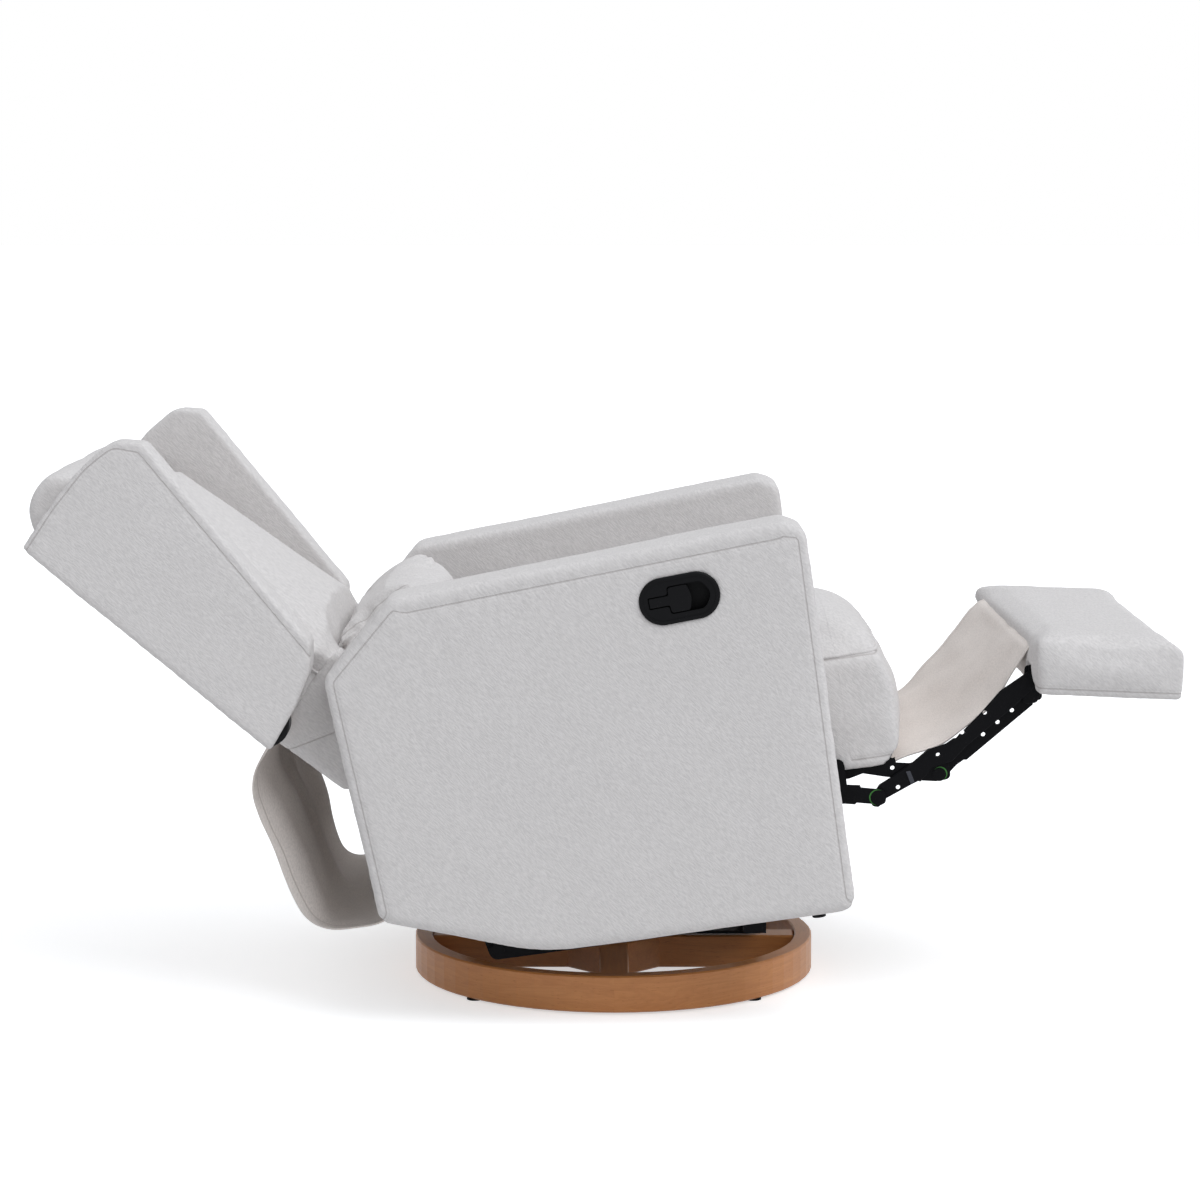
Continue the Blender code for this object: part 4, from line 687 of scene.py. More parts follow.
def sew(mesh, families, along, depth, seed):
    """Draws the cloth in along each family of seams, puckers it beside them and stores where they are."""
    points, normals = get_points(mesh), get_normals(mesh)
    pucker = np.sin(along / 0.0034 + seed) * np.sin(along / 0.0127 + 2 * seed) + 0.6 * np.sin(along / 0.0061)
    move = np.zeros(len(points))
    for name, signed in families:
        move -= depth * np.exp(-((signed / GROOVE_WIDTH) ** 2))
        move += 0.35 * depth * pucker * np.exp(-np.abs(signed) / PUCKER_REACH)
        store(mesh, name, SEAM_ZERO + np.clip(signed, -SEAM_REACH, SEAM_REACH))
    store(mesh, "along", along)
    set_points(mesh, points + normals * move[:, None])


def dented(points, normals, places, radius, depth):
    """Points pushed in round each place, as where a tuck or a staple holds the cloth."""
    move = np.zeros(len(points))
    for place in places:
        away = np.linalg.norm(points - np.array(place), axis=1)
        move -= depth * np.exp(-((away / radius) ** 2))
    return points + normals * move[:, None]


# Cushions before they are filled: size of a face, and passes that smooth the faces
FACES = {
    "back_pad": (0.007, 3), "head_roll_pad": (0.006, 4), "outside_back": (0.005, 2),
    "lower_back": (0.005, 2), "lumbar_pad": (0.005, 6), "seat_pad": (0.0068, 3),
    "footrest_cushion": (0.0052, 3),
}

# Filling: how far a point may move, how far the form is drawn in first on each axis, and the pressure
FILLINGS = {
    "back_pad": (0.022, (0.0, 0.012, 0.0), 4.0),
    "head_roll_pad": (0.012, (0.0, 0.006, 0.006), 4.0),
    "lumbar_pad": (0.022, (0.0, 0.002, 0.002), 4.0),
    "seat_pad": (0.022, (0.0, 0.006, 0.013), 4.0),
    "footrest_cushion": (0.006, (0.0, 0.0, 0.002), 2.0),
}
# Frames of the cloth's run, passes that even its movement out, and its limit along an axis not drawn in
FILLING_FRAMES = 20
EVENING_PASSES = 8
SIDE_SWELL = 0.006


def cushion_piece(name, form):
    """A cushion's form as an upholstered piece with even faces."""
    piece = new_piece(name, to_mesh(form, name), "upholstery")
    return piece, remeshed(piece, *FACES[name])


def stuffed(piece, name, held):
    """Blows a form up as cloth. Where held is 1 a point stays, and where it is 0.5 it gives a little."""
    cap, start, pressure = FILLINGS[name]
    mesh = piece.data
    before = get_points(mesh)
    anchor = before[held == 1.0].mean(axis=0)
    reach = np.abs(before - anchor).max(axis=0)
    before = anchor + (before - anchor) * (1 - np.array(start) / reach)
    set_points(mesh, before)
    group = piece.vertex_groups.new(name="held")
    for weight in (1.0, 0.5):
        chosen = np.nonzero(held == weight)[0].tolist()
        if chosen:
            group.add(chosen, weight, "REPLACE")
    change = piece.modifiers.new("filling", "CLOTH")
    change.settings.use_pressure = True
    change.settings.uniform_pressure_force = pressure
    change.settings.effector_weights.gravity = 0.0
    change.settings.vertex_group_mass = "held"
    change.point_cache.frame_start = 1
    change.point_cache.frame_end = FILLING_FRAMES
    scene = bpy.context.scene
    for count in range(1, FILLING_FRAMES + 1):
        scene.frame_set(count)
    graph = bpy.context.evaluated_depsgraph_get()
    after = get_points(piece.evaluated_get(graph).data)
    piece.modifiers.clear()
    piece.vertex_groups.clear()
    scene.frame_set(1)
    move = after - before
    for axis in range(3):
        if start[axis] == 0.0:
            move[:, axis] = np.clip(move[:, axis], -SIDE_SWELL, SIDE_SWELL)
    length = np.linalg.norm(move, axis=1)
    move *= np.minimum(1.0, cap / np.maximum(length, 1e-9))[:, None]
    ends = np.empty(len(mesh.edges) * 2, dtype=np.int32)
    mesh.edges.foreach_get("vertices", ends)
    first, second = ends[0::2], ends[1::2]
    degree = np.bincount(ends, minlength=len(move))[:, None]
    for _ in range(EVENING_PASSES):
        total = np.zeros_like(move)
        np.add.at(total, first, move[second])
        np.add.at(total, second, move[first])
        move = 0.5 * move + 0.5 * total / degree
    set_points(mesh, before + move)


def subdivided(piece):
    """Splits each face in four, on a smooth surface."""
    change = piece.modifiers.new("finer", "SUBSURF")
    change.levels = 1
    change.render_levels = 1
    return baked(piece)


def pillow_form(low, high, pinch, cuts):
    """A box from low to high (side, forward, up), its four upright faces drawn in by a pinch."""
    shape = bmesh.new()
    bmesh.ops.create_cube(shape, size=2.0)
    bmesh.ops.subdivide_edges(shape, edges=shape.edges, cuts=cuts, use_grid_fill=True)
    half = [(high[axis] - low[axis]) / 2 for axis in range(3)]
    middle = [(high[axis] + low[axis]) / 2 for axis in range(3)]
    for vert in shape.verts:
        across, back, up = vert.co
        side = half[0] * across - math.copysign(pinch, across) * (1 - back * back) * (abs(across) > 0)
        forward = -half[1] * back + math.copysign(pinch, back) * (1 - across * across) * (abs(back) > 0)
        vert.co = at(middle[1] + forward, middle[2] + half[2] * up, middle[0] + side)
    return shape


def welt(name, mesh, place, normal, radius):
    """A thin round welt along the loop where a plane cuts a mesh."""
    shape = bmesh.new()
    shape.from_mesh(mesh)
    cut_geometry = bmesh.ops.bisect_plane(
        shape, geom=[*shape.verts, *shape.edges, *shape.faces], plane_co=place, plane_no=normal,
        clear_inner=True, clear_outer=True,
    )["geom_cut"]
    edges = [item for item in cut_geometry if isinstance(item, bmesh.types.BMEdge)]
    loops = []
    left = set(edges)
    while left:
        edge = left.pop()
        chain = [edge.verts[0], edge.verts[1]]
        while True:
            follow = next((other for other in chain[-1].link_edges if other in left), None)
            if follow is None:
                break
            left.discard(follow)
            chain.append(follow.other_vert(chain[-1]))
        loops.append([vert.co.copy() for vert in chain])
    shape.free()
    longest = max(loops, key=len)
    curve = bpy.data.curves.new(name, "CURVE")
    curve.dimensions = "3D"
    curve.bevel_depth = radius
    curve.bevel_resolution = 2
    spline = curve.splines.new("POLY")
    points = longest[:-1]
    spline.points.add(len(points) - 1)
    for knot, point in zip(spline.points, points):
        knot.co = (*point, 1.0)
    spline.use_cyclic_u = True
    holder = bpy.data.objects.new(name, curve)
    bpy.context.scene.collection.objects.link(holder)
    graph = bpy.context.evaluated_depsgraph_get()
    tube = bpy.data.meshes.new_from_object(holder.evaluated_get(graph))
    bpy.data.objects.remove(holder)
    return new_piece(name, tube, "upholstery")


def finish_piece(piece, place, body, nodes=()):
    """Moves a piece's mesh to its place in the row frame and hands it to the frame."""
    piece.data.transform(place)
    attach(piece, body)
    if nodes:
        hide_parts(*nodes)
    return piece


# Arms and wings: size of a face and passes that smooth the faces
PANEL_FACES = (0.004, 3)


def panel_piece(name, arcs, thickness, rounding):
    """A padded panel on edge, before its cloth is sewn."""
    outline = [point for arc in arcs for point in arc]
    return new_piece(name, to_mesh(slab_form(outline, thickness, rounding), name), "upholstery")


def lengthened(line, reach):
    """A line carried on past both ends, so that a seam beside it runs off the edge of the panel."""
    head = Vector(line[0]) + (Vector(line[0]) - Vector(line[1])).normalized() * reach
    tail = Vector(line[-1]) + (Vector(line[-1]) - Vector(line[-2])).normalized() * reach
    return [head, *line, tail]


def dress_panel(piece, line, thickness, inset, sign, seed, dents=()):
    """Crowns both faces of a panel and sews its outer one."""
    sizes = bpy.context.scene.recliner_sizes
    mesh = remeshed(piece, *PANEL_FACES)
    points, normals = get_points(mesh), get_normals(mesh)
    gap, along = line_distance(side_view(points), line)
    signed = gap - inset(along)
    face = np.clip(np.abs(points[:, 0]) / (thickness / 2), 0, 1) ** 6
    crown = sizes.panel_crown * (1 - np.exp(-np.maximum(signed, 0) / 0.04)) * face
    soft = soft_noise(points, (0.0011, 0.09, seed), (0.0004, 0.028, seed + 5))
    points = points + normals * (crown + soft)[:, None]
    points = dented(points, normals, dents, 0.006, 0.0035)
    set_points(mesh, points)
    signed = np.where(points[:, 0] * sign < thickness * 0.3, -SEAM_REACH, signed)
    sew(mesh, [("seam_a", signed)], along, sizes.seam_depth, seed)


def line_length(line):
    """Length of a line through points."""
    return sum((Vector(end) - Vector(start)).length for start, end in zip(line, line[1:]))


def stadium(length, height, steps=16):
    """An outline with straight long sides and round ends, about the origin."""
    radius = height / 2
    reach = length / 2 - radius
    points = []
    for centre, start in ((reach, -math.pi / 2), (-reach, math.pi / 2)):
        for step in range(steps + 1):
            turn = start + math.pi * step / steps
            points.append(Vector((centre + radius * math.cos(turn), radius * math.sin(turn))))
    return points


# Pocket behind the handle: its length, height and depth through the arm's outer face
POCKET = (0.094, 0.05, 0.072)


def make_arms(scene):
    """Makes both arms, the right one with a pocket for the handle."""
    sizes = scene.recliner_sizes
    for side, sign in SIDES:
        node = f"arm_cover_{side}"
        low, high = extent(node, CHAIR)
        arcs = filleted(scaled_corners(ARM_SHARES, *outset(low, high, ARM_OUTSET), ARM_CORNER))
        name = f"arm_{side}"
        thickness = high[0] - low[0]
        piece = panel_piece(name, arcs, thickness, ARM_ROUNDING)
        line = [arcs[3][-1], *[point for arc in arcs[4:] for point in arc], arcs[0][0]]
        if side == "right":
            length, height, depth = POCKET
            cutter_mesh = to_mesh(slab_form(stadium(length, height), depth, 0.0), "handle_pocket")
            cutter_mesh.transform(
                Matrix.Translation(at(*HANDLE_PLACE, -thickness / 2)) @ turned(-HANDLE_SLOPE_DEG)
            )
            cut(piece, new_piece("handle_pocket", cutter_mesh, "upholstery"))
        front = (Vector(arcs[4][0]) - Vector(arcs[3][-1])).length
        top = front + (Vector(arcs[6][3]) - Vector(arcs[4][3])).length

        def inset(along, front=front, top=top):
            knots = [0, front, front + 0.05, top, top + 0.03]
            narrow, wide = sizes.seam_inset, sizes.top_seam_inset
            return np.interp(along, knots, [narrow, narrow, wide, wide, narrow])

        dress_panel(piece, line, thickness, inset, sign, 1.0 + sign)
        place = CHAIR @ Matrix.Translation((sign * (abs(low[0] + high[0]) / 2), 0, 0))
        finish_piece(piece, place, "seat", [node])


def make_wings(scene):
    """Makes both wings, with a strip of dust cover that hangs along each lower edge."""
    sizes = scene.recliner_sizes
    for side, sign in SIDES:
        node = f"wing_{side}"
        low, high = extent(node, BACK)
        arcs = filleted(scaled_corners(WING_SHARES, *outset(low, high, WING_OUTSET)))
        name = f"wing_pad_{side}"
        thickness = high[0] - low[0]
        piece = panel_piece(name, arcs, thickness, WING_ROUNDING)
        front_edge = [arcs[3][-1], *arcs[4], *arcs[5], *arcs[6], *arcs[7], arcs[8][0]]
        line = lengthened(front_edge, 0.03)
        tucks = []
        for corner in (5, 6, 7):
            point = arcs[corner][3]
            tucks.append(at(point[0], point[1], sign * thickness * 0.36))
        whole = line_length(line)

        def inset(along, whole=whole):
            narrow, wide = WING_TOP_INSET, sizes.seam_inset
            return np.interp(along, [0, whole * 0.6, whole * 0.7, whole], [wide, wide, narrow, narrow])

        dress_panel(piece, line, thickness, inset, sign, 3.0 + sign, tucks)
        place = BACK @ Matrix.Translation((sign * (abs(low[0] + high[0]) / 2), 0, 0))
        finish_piece(piece, place, "back", [node])
        edge = Vector(arcs[1][0]) - Vector(arcs[0][-1])
        out = Vector((edge[1], -edge[0])).normalized()
        inner, outer = [], []
        for i in range(13):
            point = Vector(arcs[0][-1]) + edge * (DUST_COVER_SHARE * i / 12)
            inner.append(point - out * DUST_COVER_TUCK)
            outer.append(point + out * (DUST_COVER_SAG * math.sin(math.pi * i / 12)))
        strip = slab_form([*inner, *reversed(outer)], DUST_COVER_WIDTH, 0.0)
        trim = new_piece(f"wing_dust_cover_{side}", to_mesh(strip, "dust_cover"), "cambric")
        finish_piece(trim, place, "back")


# Back: an outset as rear, front, bottom and top, a room as side, rear, front, bottom and top

LOWER_SET_IN = 0.03
LOWER_OVERLAP = 0.012
LOWER_HALF_WIDTH = 0.2595
LOWER_OUTSET = (0.008, 0.002, 0.008, 0.0)
ROLL_SECTION = (
    (-0.009, -0.007, 0.004), (0.121, -0.003, 0.004), (0.115, 0.03, 0.03), (0.097, 0.068, 0.03),
    (0.082, 0.0925, 0.03), (0.045, 0.097, 0.04), (0.018, 0.083, 0.03), (0.001, 0.058, 0.02),
    (-0.009, 0.012, 0.006),
)
ROLL_END_FALL = 0.007
PAD_ROOM = (0.0, 0.0, 0.02, 0.0, 0.0)
PAD_TOP_REACH = 0.022
PAD_BOTTOM_REACH = 0.004
PANEL_TOP_REACH = 0.004
PAD_EAR = 0.022
PAD_EAR_SIDE = 0.19
PAD_SEAM_BACK = 0.05
PAD_FRONT = 0.131
PAD_FRONT_FALL = -0.07
PAD_CROWN = 0.024
LUMBAR_ROOM = (0.004, 0.0, 0.006, 0.002, 0.008)
LOWER_SEAM = ((-0.19, 0.1769), (0.0, 0.1146))


def pad_front(points, half):
    """How far forward the back pad reaches: crowned across, and thinner towards the head."""
    crown = PAD_CROWN * (1 - np.minimum(np.abs(points[:, 0]) / half, 1) ** 2.5)
    return PAD_FRONT + PAD_FRONT_FALL * points[:, 2] + crown


def make_back(scene):
    """Makes the back pad, head roll, outside back, lower box and lumbar pillow."""
    sizes = scene.recliner_sizes
    low, high = extent("back_cushion", PAD)
    low[2] -= PAD_BOTTOM_REACH
    high[2] += PAD_TOP_REACH
    form = pillow_form(low, high, 0.002, 7)
    piece, mesh = cushion_piece("back_pad", form)
    points = get_points(mesh)
    front = pad_front(points, high[0])
    points[:, 1] = -(low[1] + (-points[:, 1] - low[1]) * (front - low[1]) / (high[1] - low[1]))
    set_points(mesh, points)
    seam_depth = high[1] - PAD_SEAM_BACK
    held = np.where(-points[:, 1] < low[1] + 0.012, 1.0, 0.0)
    stuffed(piece, "back_pad", held)
    mesh = subdivided(piece)
    limit_points(mesh, low, high, PAD_ROOM)
    points = get_points(mesh)
    front = pad_front(points, high[0]) + soft_noise(points, (0.0015, 0.1, 2.0))
    points[:, 1] = np.maximum(points[:, 1], -front)
    beside = np.clip((np.abs(points[:, 0]) - PAD_EAR_SIDE) / 0.02, 0, 1)
    lower = np.clip((low[2] + 0.03 - points[:, 2]) / 0.03, 0, 1)
    drop = beside * lower * np.clip((-points[:, 1] - 0.05) / 0.04, 0, 1)
    points[:, 2] -= PAD_EAR * drop
    points[:, 0] *= 1 - (1 - LOWER_HALF_WIDTH / high[0]) * np.minimum(drop * 3, 1)
    set_points(mesh, points)
    along = np.abs(points[:, 0]) + points[:, 2]
    sew(mesh, [("seam_a", -points[:, 1] - seam_depth)], along, sizes.seam_depth, 2.0)
    rope = welt("back_pad_welt", mesh, at(seam_depth, 0), (0, 1, 0), sizes.welt_radius)
    finish_piece(rope, PAD, "back")
    finish_piece(piece, PAD, "back", ["back_cushion"])

    low, high = extent("head_roll", PAD)
    outline = outline_of([(low[1] + along, low[2] + rise, radius) for along, rise, radius in ROLL_SECTION])
    form = slab_form(outline, high[0] - low[0], 0.006, 3)
    piece, mesh = cushion_piece("head_roll_pad", form)
    points = get_points(mesh)
    held = np.where((points[:, 2] < low[2] + 0.01) | (np.abs(points[:, 0]) > high[0] - 0.004), 1.0, 0.0)
    stuffed(piece, "head_roll_pad", held)
    mesh = subdivided(piece)
    points, normals = get_points(mesh), get_normals(mesh)
    points = points + normals * soft_noise(points, (0.0012, 0.09, 4.0))[:, None]
    lift = (points[:, 2] - low[2]) / (high[2] - low[2])
    points[:, 2] -= ROLL_END_FALL * lift * (np.abs(points[:, 0]) / high[0]) ** 4
    set_points(mesh, points)
    finish_piece(piece, PAD, "back", ["head_roll"])

    low, high = extent("back_panel", PAD)
    high[2] += PANEL_TOP_REACH
    form = pillow_form(low, high, 0.0, 1)
    round_edges(form, sharp_edges(form), 0.007)
    piece, mesh = cushion_piece("outside_back", form)
    points, normals = get_points(mesh), get_normals(mesh)
    inside = np.minimum(points[:, 2] - low[2], high[2] - points[:, 2])
    inside = np.minimum(high[0] - np.abs(points[:, 0]), inside)
    rear = -points[:, 1] < (low[1] + high[1]) / 2
    swell = np.where(rear, 0.002 * (1 - np.exp(-np.maximum(inside - 0.012, 0) / 0.05)), 0.0)
    soft = soft_noise(points, (0.0008, 0.1, 6.0))
    set_points(mesh, points + normals * (swell + np.where(rear, soft, 0.0))[:, None])
    signed = np.where(rear, inside - sizes.seam_inset, -SEAM_REACH)
    sew(mesh, [("seam_a", signed)], points[:, 0] + points[:, 2] + 1, sizes.seam_depth, 6.0)
    finish_piece(piece, PAD, "back", ["back_panel"])

    low, high = outset(*extent("back_lower", BACK), LOWER_OUTSET)
    slant = math.tan(math.radians(PAD_LEAN_DEG))
    depth = high[1] - low[1]
    top = high[2] + LOWER_OVERLAP
    corners = [
        (low[1] + LOWER_SET_IN, low[2], 0.014), (high[1], low[2], 0.014), (high[1], top, 0.008),
        (low[1], top - depth * slant, 0.006),
    ]
    form = slab_form(outline_of(corners), 2 * LOWER_HALF_WIDTH, 0.008, 3)
    piece, mesh = cushion_piece("lower_back", form)
    points, normals = get_points(mesh), get_normals(mesh)
    set_points(mesh, points + normals * soft_noise(points, (0.0012, 0.06, 8.0))[:, None])
    points = get_points(mesh)
    gap, along = line_distance(side_view(points), LOWER_SEAM)
    (rear, rear_up), (front, front_up) = LOWER_SEAM
    fall = (front_up - rear_up) / (front - rear)
    above = points[:, 2] > rear_up + (-points[:, 1] - rear) * fall
    signed = np.where(above, gap, -gap)
    sew(mesh, [("seam_a", signed)], along, sizes.seam_depth, 8.0)
    finish_piece(piece, BACK, "back", ["back_lower"])

    low, high = extent("lumbar_pillow", BACK)
    form = pillow_form(low, high, 0.0, 5)
    round_edges(form, sharp_edges(form), 0.025)
    piece, mesh = cushion_piece("lumbar_pad", form)
    points = get_points(mesh)
    held = np.where(-points[:, 1] < low[1] + 0.01, 1.0, 0.0)
    stuffed(piece, "lumbar_pad", held)
    mesh = subdivided(piece)
    limit_points(mesh, low, high, LUMBAR_ROOM)
    points, normals = get_points(mesh), get_normals(mesh)
    creases = np.zeros(len(points))
    for end in (-1, 1):
        corner = np.array(at(low[1] + 0.02, high[2] - 0.02, end * (high[0] - 0.01)))
        away = points - corner
        reach = np.linalg.norm(away, axis=1)
        turn = np.arctan2(away[:, 2], np.abs(away[:, 0]) + 0.01)
        creases += 0.0032 * np.sin(turn * 11 + 1) * np.exp(-((reach - 0.05) / 0.06) ** 2)
    set_points(mesh, points + normals * (creases + soft_noise(points, (0.0014, 0.05, 9.0)))[:, None])
    points = get_points(mesh)
    signed = np.abs(points[:, 0]) - (high[0] - 0.018)
    sew(mesh, [("seam_a", signed)], points[:, 2] - points[:, 1] + 1, sizes.seam_depth, 9.0)
    finish_piece(piece, BACK, "back", ["lumbar_pillow"])


def limit_points(mesh, low, high, room):
    """Keeps a piece in its space: side, rear, front, bottom and top room beyond the frame's solid."""
    points = get_points(mesh)
    side, rear, front, bottom, top = room
    points[:, 0] = np.clip(points[:, 0], low[0] - side, high[0] + side)
    points[:, 1] = np.clip(points[:, 1], -(high[1] + front), -(low[1] - rear))
    points[:, 2] = np.clip(points[:, 2], low[2] - bottom, high[2] + top)
    set_points(mesh, points)


# Layers of the linkage from the side plate's web inwards, as distances from the middle plane
LINK_LAYERS = (0.2627, 0.2567, 0.2507, 0.2447, 0.2387)
LINK_THICKNESS = 0.004


# Seat and footrest

SEAT_ROOM = (0.0125, 0.0, 0.022, 0.0291, -0.010)
SEAT_HALF_WIDTH = 0.2565
SEAT_SEAM = 0.435
SEAT_BOTTOM = 0.2775
SEAT_FRONT = 0.418
SEAT_CROWN = 0.068
SEAT_BULGE = 0.013
SEAT_SECTION = (
    (0.3185, 0.3066, 0.003), (0.321, 0.2785, 0.004), (0.4, 0.2765, 0.03), (0.4165, 0.307, 0.03),
    (0.4195, 0.39, 0.06), (0.408, SEAT_SEAM + 0.002, 0.010),
)
REST_BOTTOM = -0.0212
REST_FAR_REACH = 0.015
REST_SECTION = (
    (0.004, REST_BOTTOM, 0.003), (0.193, REST_BOTTOM, 0.003), (0.1945, 0.045, 0.008),
    (0.183, 0.0525, 0.012), (-0.005, 0.0525, 0.009),
)

# Slits of the seat pad over the drive links: half width, rear end and height
SEAT_SLIT = (0.0055, 0.29, 0.3)
# Slots of the footrest pad for its brackets: middle, half width, height and rear end
REST_SLOT = (0.2487, 0.0145, 0.014, -0.018)


def make_seat(scene):
    """Makes the seat cushion: crowned, bulging in front, with a welt round its top."""
    sizes = scene.recliner_sizes
    low, high = extent("seat_cushion", CHAIR)
    outline = outline_of([(low[1], low[2], 0.012), *SEAT_SECTION, (low[1], SEAT_SEAM + 0.002, 0.012)])
    form = slab_form(outline, 2 * SEAT_HALF_WIDTH, 0.012, 3)
    piece, mesh = cushion_piece("seat_pad", form)
    points = get_points(mesh)
    side = np.minimum(np.abs(points[:, 0]) / SEAT_HALF_WIDTH, 1)
    middle, reach = (low[1] + SEAT_FRONT) / 2, (SEAT_FRONT - low[1]) / 2
    forward = np.minimum(np.abs(-points[:, 1] - middle) / reach, 1)
    top = np.clip((points[:, 2] - SEAT_SEAM + 0.012) / 0.012, 0, 1)
    points[:, 2] += SEAT_CROWN * top * (1 - side ** 4) * (1 - forward ** 9)
    rise = np.clip((points[:, 2] - SEAT_BOTTOM) / (SEAT_SEAM - SEAT_BOTTOM), 0, 1)
    front = np.clip((-points[:, 1] - SEAT_FRONT + 0.05) / 0.05, 0, 1)
    points[:, 1] -= SEAT_BULGE * front * (1 - side ** 4) * np.sin(math.pi * np.clip(rise, 0.05, 0.95))
    set_points(mesh, points)
    held = np.where(points[:, 2] < low[2] + 0.012, 1.0, 0.0)
    held = np.where(np.abs(points[:, 2] - SEAT_SEAM) < 0.004, 0.5, held)
    held = np.where(points[:, 1] > -low[1] - 0.03, 1.0, held)
    stuffed(piece, "seat_pad", held)
    mesh = subdivided(piece)
    limit_points(mesh, low, high, SEAT_ROOM)
    points, normals = get_points(mesh), get_normals(mesh)
    soft = soft_noise(points, (0.0016, 0.11, 11.0), (0.0006, 0.035, 12.0))
    points = points + normals * soft[:, None]
    set_points(mesh, points)
    along = np.abs(points[:, 0]) - points[:, 1] + 1
    under = np.where(-points[:, 1] > SEAT_FRONT - 0.075, points[:, 2] - SEAT_BOTTOM - 0.017, -SEAM_REACH)
    beside = points[:, 2] - SEAT_SEAM + sizes.welt_radius
    sew(mesh, [("seam_a", beside), ("seam_b", under)], along, sizes.seam_depth, 11.0)
    points = get_points(mesh)
    half, rear, up = SEAT_SLIT
    slit = (np.abs(np.abs(points[:, 0]) - LINK_LAYERS[3]) < half) & (-points[:, 1] > rear)
    points[:, 2] = np.where(slit, np.maximum(points[:, 2], up), points[:, 2])
    set_points(mesh, points)
    rope = welt("seat_pad_welt", mesh, at(0, SEAT_SEAM), (0, 0, 1), sizes.welt_radius)
    finish_piece(rope, CHAIR, "seat")
    finish_piece(piece, CHAIR, "seat", ["seat_cushion"])


def make_footrest(scene):
    """Makes the footrest's cushion, slotted for its brackets."""
    sizes = scene.recliner_sizes
    high = extent("footrest_pad", FOOTREST)[1]
    form = slab_form(outline_of(REST_SECTION), 2 * high[0], 0.009, 3)
    piece, mesh = cushion_piece("footrest_cushion", form)
    points = get_points(mesh)
    held = np.where(points[:, 2] < REST_BOTTOM + 0.012, 1.0, 0.0)
    stuffed(piece, "footrest_cushion", held)
    mesh = subdivided(piece)
    points, normals = get_points(mesh), get_normals(mesh)
    side = np.abs(points[:, 0]) / high[0]
    top = np.clip((points[:, 2] - 0.03) / 0.02, 0, 1)
    points[:, 2] += 0.003 * top * (1 - np.minimum(side, 1) ** 6)
    soft = soft_noise(points, (0.0012, 0.07, 14.0), (0.0005, 0.025, 15.0))
    points = points + normals * soft[:, None]
    rear = np.clip((0.04 + points[:, 1]) / 0.04, 0, 1) * np.clip((points[:, 2] - 0.005) / 0.03, 0, 1)
    points[:, 1] += REST_FAR_REACH * rear * np.clip(0.5 + 0.5 * points[:, 0] / high[0], 0, 1)
    place, half, up, back = REST_SLOT
    slot = (np.abs(np.abs(points[:, 0]) - place) < half) & (points[:, 2] < up)
    points[:, 1] = np.where(slot, np.minimum(points[:, 1], back), points[:, 1])
    points[:, 2] = np.maximum(points[:, 2], REST_BOTTOM)
    set_points(mesh, points)
    signed = points[:, 2] - (REST_BOTTOM + 0.009)
    sew(mesh, [("seam_a", signed)], np.abs(points[:, 0]) - points[:, 1] + 1, sizes.seam_depth * 0.7, 14.0)
    finish_piece(piece, FOOTREST, "footrest", ["footrest_pad", "footrest_board"])


# Flaps

def smooth_route(route, steps):
    """A curve of even steps through the route's places."""
    knots = [Vector(point) for point in route]
    padded = [2 * knots[0] - knots[1], *knots, 2 * knots[-1] - knots[-2]]
    fine = []
    for index in range(1, len(padded) - 2):
        before, start, end, after = padded[index - 1:index + 3]
        for step in range(12):
            t = step / 12
            fine.append(0.5 * (
                2 * start + (end - before) * t + (2 * before - 5 * start + 4 * end - after) * t * t
                + (3 * start - before - 3 * end + after) * t ** 3
            ))
    fine.append(knots[-1])
    lengths = [0.0]
    for first, second in zip(fine, fine[1:]):
        lengths.append(lengths[-1] + (second - first).length)
    total = lengths[-1]
    even = []
    for step in range(steps + 1):
        aim = total * step / steps
        beyond = (place for place in range(1, len(lengths)) if lengths[place] >= aim - 1e-9)
        index = next(beyond, len(lengths) - 1)
        part = (aim - lengths[index - 1]) / max(lengths[index] - lengths[index - 1], 1e-9)
        even.append(fine[index - 1].lerp(fine[index], part))
    return even, total


def sheet_form(route, half_width, columns):
    """Cloth stretched along a route, as a mesh of even squares."""
    shape = bmesh.new()
    verts = [shape.verts.new(at(point[0], point[1], -half_width)) for point in route]
    edges = [shape.edges.new(pair) for pair in zip(verts, verts[1:])]
    for _ in range(columns):
        grown = bmesh.ops.extrude_edge_only(shape, edges=edges)["geom"]
        moved = [item for item in grown if isinstance(item, bmesh.types.BMVert)]
        edges = [
            item for item in grown
            if isinstance(item, bmesh.types.BMEdge) and all(end in moved for end in item.verts)
        ]
        bmesh.ops.translate(shape, vec=(2 * half_width / columns, 0, 0), verts=moved)
    return shape


def finish_sheet(piece, thickness):
    """Gives a sheet its thickness."""
    change = piece.modifiers.new("cloth", "SOLIDIFY")
    change.thickness = thickness
    change.offset = 0.0
    mesh = baked(piece)
    shape = bmesh.new()
    shape.from_mesh(mesh)
    bmesh.ops.recalc_face_normals(shape, faces=shape.faces)
    shape.to_mesh(mesh)
    shape.free()


REAR_FLAP_LAP = 0.02
FLAP_OFF_FACE = 0.0023
SIDE_LEAF = 0.058
LEAF_BEND_DEG = 78
FAR_LEAF_SHARE = 0.35
FAR_EDGE_FORWARD = 0.02
SHEET_THICKNESS = 0.0022
# Faces of each flap: along its route and across it
REAR_GRID = (110, 120)
FRONT_GRID = (90, 110)


